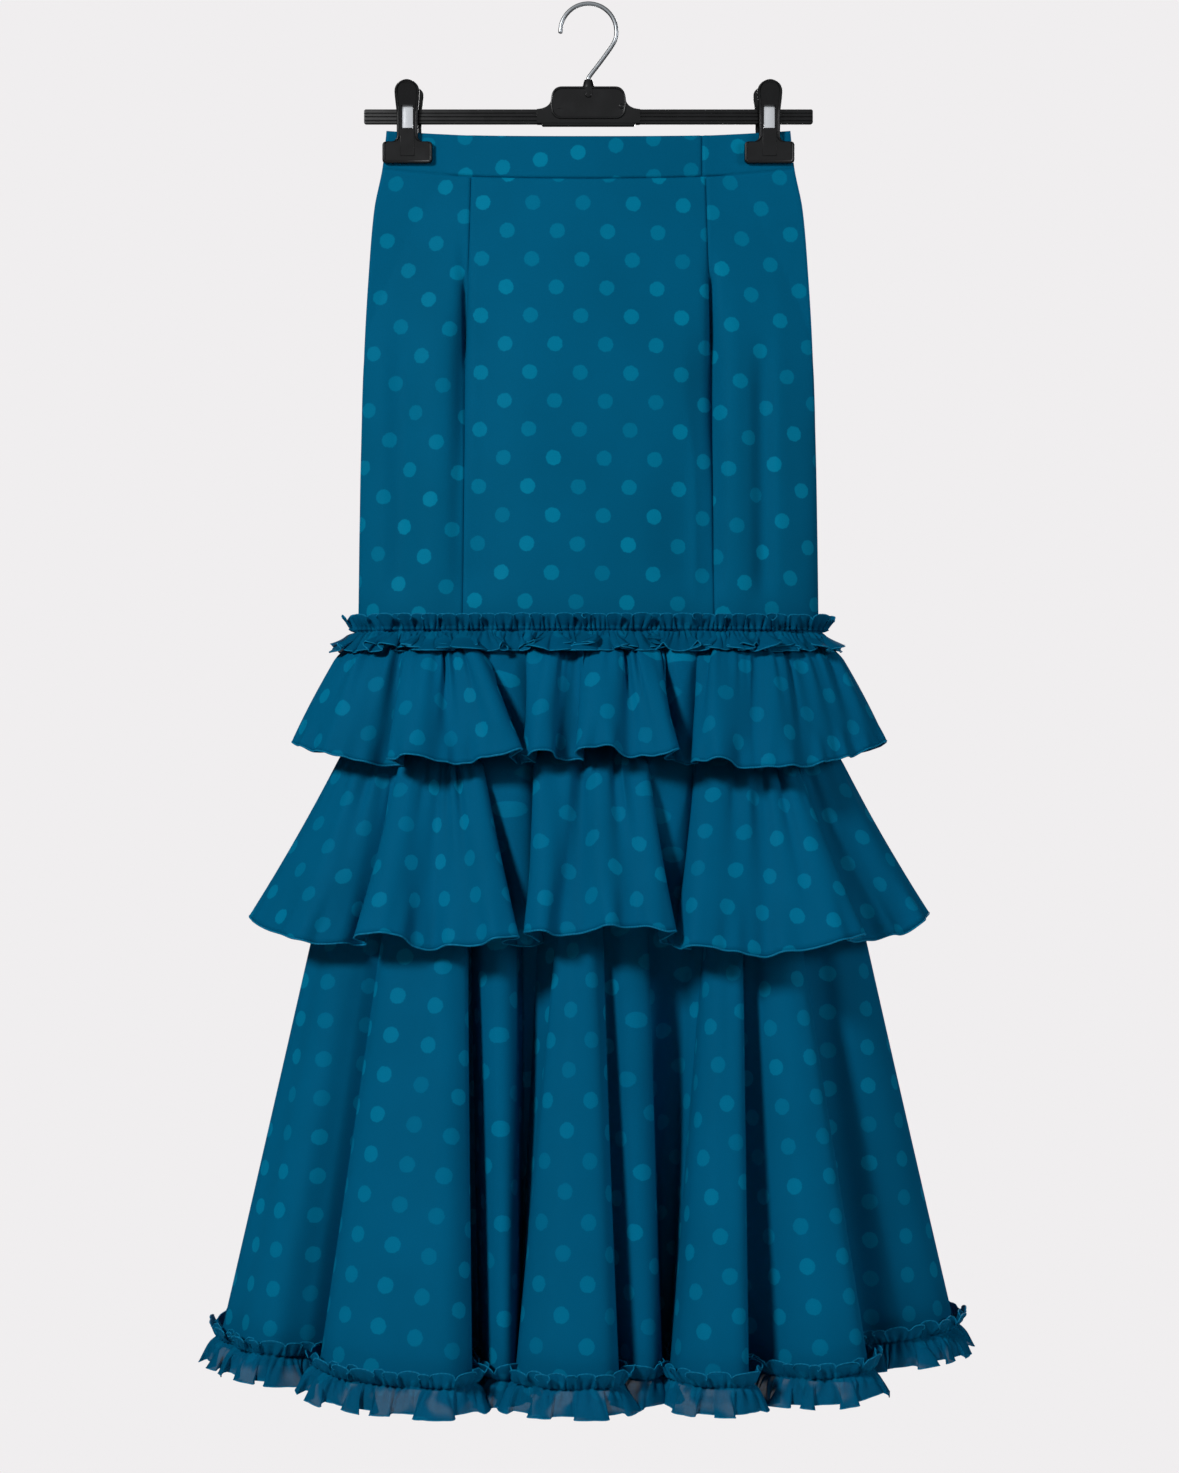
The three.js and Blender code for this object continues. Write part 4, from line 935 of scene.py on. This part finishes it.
def quadratic(a, b, c, count):
    a, b, c = (np.array(p, dtype=float) for p in (a, b, c))
    return [tuple(a * (1 - t) ** 2 + 2 * b * t * (1 - t) + c * t * t) for t in np.linspace(0, 1, count)]


bar = {"half": 190.6, "top": -88.6, "bottom": -100.5, "thick": 2.5, "grooves": (-92.0, -94.9, -98.3),
       "grooveHalf": 0.55, "grooveDepth": 0.55, "endRound": 1.2, "endScale": 0.85}


def barSolid():
    face = [(bar["thick"], bar["top"])]
    for z in bar["grooves"]:
        half, depth = bar["grooveHalf"], bar["grooveDepth"]
        face += [(bar["thick"], z + half), (bar["thick"] - depth, z + 0.4 * half),
                 (bar["thick"] - depth, z - 0.4 * half), (bar["thick"], z - half)]
    face.append((bar["thick"], bar["bottom"]))
    loop = [(-y, z) for y, z in face] + face[::-1]
    loops = []
    middle = (bar["top"] + bar["bottom"]) / 2
    for sign, inset in [(-1, 0), (-1, bar["endRound"]), (1, bar["endRound"]), (1, 0)]:
        scale = 1 if inset else bar["endScale"]
        x = sign * (bar["half"] - inset)
        loops.append([(x, y * scale, middle + (z - middle) * scale) for y, z in loop])
    return loftLoops(loops)


block = {"halfTop": 22.5, "half": 31.9, "top": -69.4, "shoulder": 43.8, "thick": 4,
         "cover": 5, "coverBottom": -97, "lipHalf": 40, "lipBottom": -102.2}


def blockSolids():
    half, top, shoulder = block["half"], block["top"], block["shoulder"]
    barTop, barBottom = bar["top"], bar["bottom"]
    right = [(shoulder, barBottom), (shoulder, barTop)]
    right += quadratic((shoulder, barTop), (half + 2, barTop + 0.6), (half, barTop + 7), 9)[1:]
    right += quadratic((half, barTop + 7), (half - 0.4, top), (block["halfTop"], top), 11)[1:]
    outline = right + [(-x, z) for x, z in right[::-1]]
    coverTop = top - 0.6
    low = block["coverBottom"]
    side = arc((half - 8.4, low + 8), 8, -90, 0, 9) + [(half + 0.4, top - 15), (half - 0.2, top - 10.5)]
    side += quadratic((half - 0.4, top - 9.5), (half - 0.8, coverTop),
                      (block["halfTop"] - 1, coverTop), 11)[1:]
    cover = side + [(-x, z) for x, z in side[::-1]]
    middleZ = (low + coverTop) / 2

    def inward(by):
        low = 1 - by / (coverTop - middleZ)
        return [(x * (1 - by / half), middleZ + (z - middleZ) * low) for x, z in cover]

    lipTop = barBottom + 2
    lip = [(-block["lipHalf"], barBottom), (1 - block["lipHalf"], block["lipBottom"]),
           (block["lipHalf"] - 1, block["lipBottom"]), (block["lipHalf"], barBottom),
           (block["lipHalf"], lipTop), (-block["lipHalf"], lipTop)]
    thick = block["cover"]
    dished = []
    for sign in (-1, 1):
        steps = [(0, 1.0), (0, thick - 0.5), (0.25, thick + 0.1), (0.8, thick + 0.3), (1.3, thick + 0.1),
                 (1.6, thick - 0.6)]
        loops = [[(x, sign * y, z) for x, z in inward(by)] for by, y in steps]
        dished.append(loftLoops(loops))
    return [slabXZ(outline, -block["thick"], block["thick"]), slabXZ(lip, -3.4, 3.4)] + dished


def turnedSolid(profile, centre, sides=24, axis="z"):
    turns = 2 * np.pi * np.arange(sides) / sides
    loops = []
    for radius, height in profile:
        across, over = radius * np.cos(turns), radius * np.sin(turns)
        level = np.full(sides, float(height))
        loops.append(np.stack([across, over, level] if axis == "z" else [across, level, over], axis=1))
    return loftLoops(np.array(loops) + np.array(centre, dtype=float))


# radius and height down each turned shape, then the outlines of two small raised marks
boss = [(5.3, -71.0), (5.2, -69.2), (4.6, -67.0), (3.9, -64.5), (3.4, -63.2), (2.6, -62.8), (0.4, -62.8)]
pinRing = [(2.3, -5.0), (2.3, -5.45), (2.0, -5.6), (1.6, -5.6), (1.4, -5.2), (0.9, -5.2), (0.7, -5.35),
           (0.05, -5.35)]
keyBoss = [(3.1, -4.6), (2.9, -5.5), (2.2, -6.0), (1.2, -6.1), (0.05, -6.1)]
keyRib = [(-3.0, -76.3), (3.0, -76.3), (2.8, -69.9), (-2.8, -69.9)]
gateMark = [(-26.6, -88.2), (-23.2, -88.6), (-23.2, -87.8), (-26.6, -87.6)]
solids = [
    barSolid(), *blockSolids(), turnedSolid(boss, (0, 0, 0)),
    turnedSolid(pinRing, (28.2, 0.4, -86.2), axis="y"), turnedSolid(keyBoss, (0, 0.6, -76.3), axis="y"),
    slabXZ(keyRib, -5.3, 0), slabXZ(gateMark, -4.75, 0),
]
hangerPiece = hardPiece("hangerBar", solids, blackPlastic, ["hanger_bar"], bevel=0.35)
applyModifiers(hangerPiece)
print("bar ready")

hook = {"radius": 23.8, "wire": 1.85, "tip": 182, "end": -16,
        "sweep": [(19.4, -35), (13.4, -43.5), (7.4, -51.5), (2.4, -58.0), (0.3, -61.0), (0.0, -62.7)]}


def throughPoints(points, perSpan):
    points = np.array(points, dtype=float)
    padded = np.vstack([2 * points[0] - points[1], points, 2 * points[-1] - points[-2]])
    result = []
    for i in range(len(points) - 1):
        a, b, c, d = padded[i:i + 4]
        for t in np.arange(perSpan) / perSpan:
            result.append(0.5 * (2 * b + (c - a) * t + (2 * a - 5 * b + 4 * c - d) * t * t
                                 + (3 * b - 3 * c + d - a) * t ** 3))
    return np.array(result + [points[-1]])


def addHook():
    centre = hook["wire"] - hook["radius"]
    bend = arc((0, centre), hook["radius"], hook["tip"], hook["end"], 15)
    path = throughPoints(bend + hook["sweep"], 8)
    along = unit(np.gradient(path, axis=0))
    tip = [(-along[0] * s, r) for s, r in ((0.9, 0.25), (0.85, 0.9), (0.5, 1.5), (0.1, 1.8))]
    places = [path[0] + shift for shift, _ in tip] + list(path)
    radii = [r for _, r in tip] + [hook["wire"]] * len(path)
    across = np.stack([-along[:, 1], along[:, 0]], axis=1)
    across = np.vstack([across[:1]] * len(tip) + [across])
    turns = 2 * np.pi * np.arange(16) / 16
    loops = []
    for (x, z), radius, (ax, az) in zip(places, radii, across):
        loops.append(np.stack([x + radius * np.cos(turns) * ax, radius * np.sin(turns),
                               z + radius * np.cos(turns) * az], axis=1))
    hardPiece("hookWire", [loftLoops(loops)], wireChrome, ["hook"], sharp=60)


addHook()
print("hook ready")

clip = {
    "x": 153.6, "backShift": 2.4, "top": -65.6, "stem": 9.0, "head": 10.6, "headRound": 9.5, "neck": -89.6,
    "foot": 21.2, "footTop": -116.6, "footBottom": -134.5, "round": 2.6, "fillet": 5.0, "rim": 1.5,
    "dish": 0.9, "nip": 1.65, "stand": 4.0, "lean": 6.5, "wall": 2.9, "footFace": 6.2,
}


def arcHeight(radius, off):
    return math.sqrt(max(radius ** 2 - off ** 2, 0))


def clipHalfWidth(z):
    c = clip
    if z <= c["footBottom"] + c["round"]:
        return c["foot"] - c["round"] + arcHeight(c["round"], c["footBottom"] + c["round"] - z)
    if z <= c["footTop"] - c["round"]:
        return c["foot"]
    if z <= c["footTop"]:
        return c["foot"] - c["round"] + arcHeight(c["round"], z - c["footTop"] + c["round"])
    if z <= c["footTop"] + c["fillet"]:
        return c["stem"] + c["fillet"] - arcHeight(c["fillet"], c["footTop"] + c["fillet"] - z)
    headStart = c["top"] - c["headRound"]
    if z <= headStart:
        return c["stem"] + (c["head"] - c["stem"]) * float(smooth(c["neck"] - 6, headStart + 1, z))
    return c["head"] * math.sqrt(max(1 - ((z - headStart) / c["headRound"]) ** 2.2, 0.0))


# How far the front and the back of a jaw stand from the bar's middle plane at a height
def clipDepths(z):
    c = clip
    foot, headBack = [c["footBottom"], c["footBottom"] + 1.5], c["stand"] + c["lean"]
    heights = foot + [c["footTop"] - 1, c["footTop"] + 8, c["neck"], c["top"]]
    front = [c["footFace"] - 1, c["footFace"], c["footFace"], c["stand"] + 2.8, c["stand"] + 3.0,
             headBack + c["wall"]]
    backHeights = foot + [c["footTop"] + 3, c["footTop"] + 10, c["neck"] + 2, c["top"]]
    back = [c["nip"], c["nip"], c["nip"], c["stand"], c["stand"], headBack]
    return float(np.interp(z, heights, front)), float(np.interp(z, backHeights, back))


# One jaw: a dished face inside a raised rim, with a flat back
def jawSolid(middle, facing):
    c = clip
    levels = np.concatenate([
        c["footBottom"] + np.array([0, 0.25, 0.8, 1.6, 2.6]), [-128, -124, -120],
        c["footTop"] - np.array([2.6, 1.6, 0.8, 0.25, 0.0]),
        c["footTop"] + np.array([0.001, 0.3, 1, 2, 3.4, 5]),
        [-108, -104, -100, -96, -92, -89, -86, -83, -80, -77.5],
        c["top"] - c["headRound"] * (1 - np.sin(np.radians([0, 14, 28, 42, 55, 66, 76, 84]))),
    ])
    loops = []
    for z in levels:
        half = max(clipHalfWidth(z), 1.2)
        front, back = clipDepths(z)
        rim = min(c["rim"], half * 0.3)
        dish = c["dish"] * float(smooth(0.6, 2.4, z - c["footBottom"]) * smooth(0.4, 2.6, c["top"] - z))
        lip = [(0, 1.5), (0.12, 0.75), (0.4, 0.2), (0.75, 0), (1.15, 0), (1.45, 0.25 * dish), (1.8, dish)]
        face = [(-half + rim * x, front - y) for x, y in lip]
        face += [(-x, y) for x, y in face[::-1]]
        rear = [(half, back + 0.5), (half - 0.5, back), (0.5 - half, back), (-half, back + 0.5)]
        loops.append([(middle + x, facing * y, z) for x, y in face + rear])
    return loftLoops(loops)


def cutBoxes(piece, boxes):
    cutters = []
    for low, high in boxes:
        xs, ys = (low[0], high[0]), (low[1], high[1])
        corners = [(xs[0], ys[0]), (xs[1], ys[0]), (xs[1], ys[1]), (xs[0], ys[1])]
        verts, faces = loftLoops([[(x, y, z) for x, y in corners] for z in (low[2], high[2])])
        cutter = makeMesh("cutter", verts, faces, None, [])
        turnFacesOut(cutter.data)
        cut = piece.modifiers.new("cut", "BOOLEAN")
        cut.operation, cut.solver, cut.object = "DIFFERENCE", "EXACT", cutter
        cutters.append(cutter)
    applyModifiers(piece)
    for cutter in cutters:
        bpy.data.objects.remove(cutter)


window = {"half": 5.2, "top": -86.0, "bottom": -105.5, "sharp": 35,
          "pocketHalf": 6.6, "pocketTop": -108.6, "pocketBottom": -129.6, "pocketDepth": 0.9}
tongueGap = {"side": 0.7, "below": 0.9, "above": 0.6}


# Each jaw has a window over the steel strip and a shallow pocket in its foot, with a tongue in it
def addClip(name, node, x):
    for word, facing in (("Front", -1), ("Back", 1)):
        middle = x if facing < 0 else x - math.copysign(clip["backShift"], x)
        jaw = hardPiece(f"{name}Jaw{word}", [jawSolid(middle, facing)], blackPlastic,
                        [f"{node}_jaw_{word.lower()}"], sharp=window["sharp"])
        front = clip["footFace"]
        boxes = []
        for half, near, far, low, high in (
                (window["pocketHalf"], front - window["pocketDepth"], 12, window["pocketBottom"],
                 window["pocketTop"]),
                (window["half"], 0.5, 14, window["bottom"], window["top"])):
            depths = sorted([facing * near, facing * far])
            boxes.append(((middle - half, depths[0], low), (middle + half, depths[1], high)))
        cutBoxes(jaw, boxes)
        jaw.data.set_sharp_from_angle(angle=math.radians(window["sharp"]))
        half = window["pocketHalf"] - tongueGap["side"]
        low, high = window["pocketBottom"] + tongueGap["below"], window["bottom"] - tongueGap["above"]
        tongue = slabXZ([(middle - half, low), (middle + half, low), (middle + half, high),
                         (middle - half, high)], facing * (front - 1.4), facing * (front - 0.25))
        piece = hardPiece(f"{name}Tongue{word}", [tongue], blackPlastic, [], bevel=0.3)
        applyModifiers(piece)


spring = {"half": 4.6, "inner": 2.8, "thick": 0.9, "top": -84.6, "bottom": -104.5, "bend": 1.6, "crown": 0.35}


# A strip of sprung steel bent over the bar, slightly crowned across its width
def addSpring(name, node, x):
    s = spring
    y, bendZ = -s["inner"] - s["thick"], s["top"] - s["bend"]
    half = [(y, z) for z in np.linspace(s["bottom"], bendZ, 9)]
    half += arc((y + s["bend"], bendZ), s["bend"], 180, 90, 6)
    path = np.array(half + [(-y, z) for y, z in half[::-1]])
    inward = squareOut(np.gradient(path, axis=0))[:, :2]
    inside = path + inward * s["thick"]
    loops = []
    for across in np.linspace(-1, 1, 7):
        loop = np.vstack([path + inward * (s["crown"] * across ** 2), inside[::-1]])
        loops.append(np.stack([np.full(len(loop), x + across * s["half"]), loop[:, 0], loop[:, 1]], axis=1))
    hardPiece(f"{name}Spring", [loftLoops(loops)], stripChrome, [f"{node}_spring"], sharp=35)


for name, node, x in (("clipLeft", "clip_left", -clip["x"]), ("clipRight", "clip_right", clip["x"])):
    addClip(name, node, x)
    addSpring(name, node, x)
print("clips ready")


studio = {
    "camera": (0.0009, -2.2, -0.6211), "viewHeight": 1.25205, "sensor": 36.0,
    "floorHeight": -1.75, "floorRadius": 1.7, "backdrop": "#f0eeef", "fill": "#f4f6f8", "fillStrength": 0.06,
    "lampTarget": (0, 0, -0.62),
}


# The floor is matt white paper, with a faint mottle
def addFloor():
    shape = bmesh.new()
    bmesh.ops.create_circle(shape, cap_ends=True, radius=studio["floorRadius"], segments=96)
    mesh = bpy.data.meshes.new("floor")
    shape.to_mesh(mesh)
    shape.free()
    floor = addObject("floor", mesh)
    floor.location.z = studio["floorHeight"]
    material, tree = newMaterial("palePaper")
    place = addNode(tree, "ShaderNodeTexCoord").outputs["Object"]
    fibre = addNode(tree, "ShaderNodeTexNoise", {"Vector": place, "Scale": 30.0, "Detail": 3.0})
    tone = addNode(tree, "ShaderNodeMapRange", {"Value": fibre.outputs[0], "To Min": 0.9, "To Max": 0.94})
    shader = addNode(tree, "ShaderNodeBsdfPrincipled", {"Base Color": tone.outputs[0], "Roughness": 0.9})
    addNode(tree, "ShaderNodeOutputMaterial", {"Surface": shader.outputs[0]})
    mesh.materials.append(material)


def addCamera():
    lens = bpy.data.cameras.new("camera")
    lens.sensor_width = studio["sensor"]
    lens.lens = studio["sensor"] * -studio["camera"][1] / studio["viewHeight"]
    lens.clip_start, lens.clip_end = 0.05, 20
    camera = addObject("camera", lens)
    camera.location = studio["camera"]
    camera.rotation_euler = (math.radians(90), 0, 0)
    bpy.context.scene.camera = camera


# name, place, size, power in watts, colour
lamps = [
    ("keyLight", (-1.8, -2.2, 0.95), 0.6, 72, "#ffffff"),
    ("fillLight", (2.4, -1.5, 0.2), 1.0, 22, "#f6f9ff"),
    ("backLight", (0.3, 2.4, 0.6), 1.6, 46, "#ffffff"),
]


def addLamp(name, place, size, power, colour):
    light = bpy.data.lights.new(name, "AREA")
    light.shape = "DISK"
    light.size = size
    light.energy = power
    light.color = toLinear(colour)[:3]
    lamp = addObject(name, light)
    lamp.location = place
    aim = Vector(studio["lampTarget"]) - Vector(place)
    lamp.rotation_euler = aim.to_track_quat("-Z", "Y").to_euler()


# The wall behind is even and pale to the eye and lights the cloth less strongly than it looks. Shiny things
# mirror a room that is brighter towards the front and above
def addWorld():
    world = bpy.data.worlds.new("studio")
    bpy.context.scene.world = world
    world.use_nodes = True
    tree = world.node_tree
    tree.nodes.clear()
    seen = addNode(tree, "ShaderNodeBackground", {"Color": toLinear(studio["backdrop"]), "Strength": 1.0})
    fill = addNode(tree, "ShaderNodeBackground", {"Color": toLinear(studio["fill"]),
                                                  "Strength": studio["fillStrength"]})
    path = addNode(tree, "ShaderNodeLightPath")
    towards = addNode(tree, "ShaderNodeTexCoord").outputs["Generated"]
    facing = addNode(tree, "ShaderNodeVectorMath", {0: towards, 1: (-0.25, -0.9, 0.35)},
                     operation="DOT_PRODUCT")
    shine = addNode(tree, "ShaderNodeMapRange", {"Value": facing.outputs["Value"], "From Min": 0.1,
                                                 "From Max": 0.95, "To Min": 0.04, "To Max": 1.0})
    mirrored = addNode(tree, "ShaderNodeBackground", {"Color": toLinear(studio["fill"]),
                                                      "Strength": shine.outputs[0]})
    shiny = addNode(tree, "ShaderNodeMixShader", {0: path.outputs["Is Glossy Ray"], 1: fill.outputs[0],
                                                  2: mirrored.outputs[0]})
    both = addNode(tree, "ShaderNodeMixShader", {0: path.outputs["Is Camera Ray"], 1: shiny.outputs[0],
                                                 2: seen.outputs[0]})
    addNode(tree, "ShaderNodeOutputWorld", {"Surface": both.outputs[0]})


addFloor()
addCamera()
for lamp in lamps:
    addLamp(*lamp)
addWorld()
bpy.context.scene.view_settings.view_transform = "Standard"
print("studio ready")
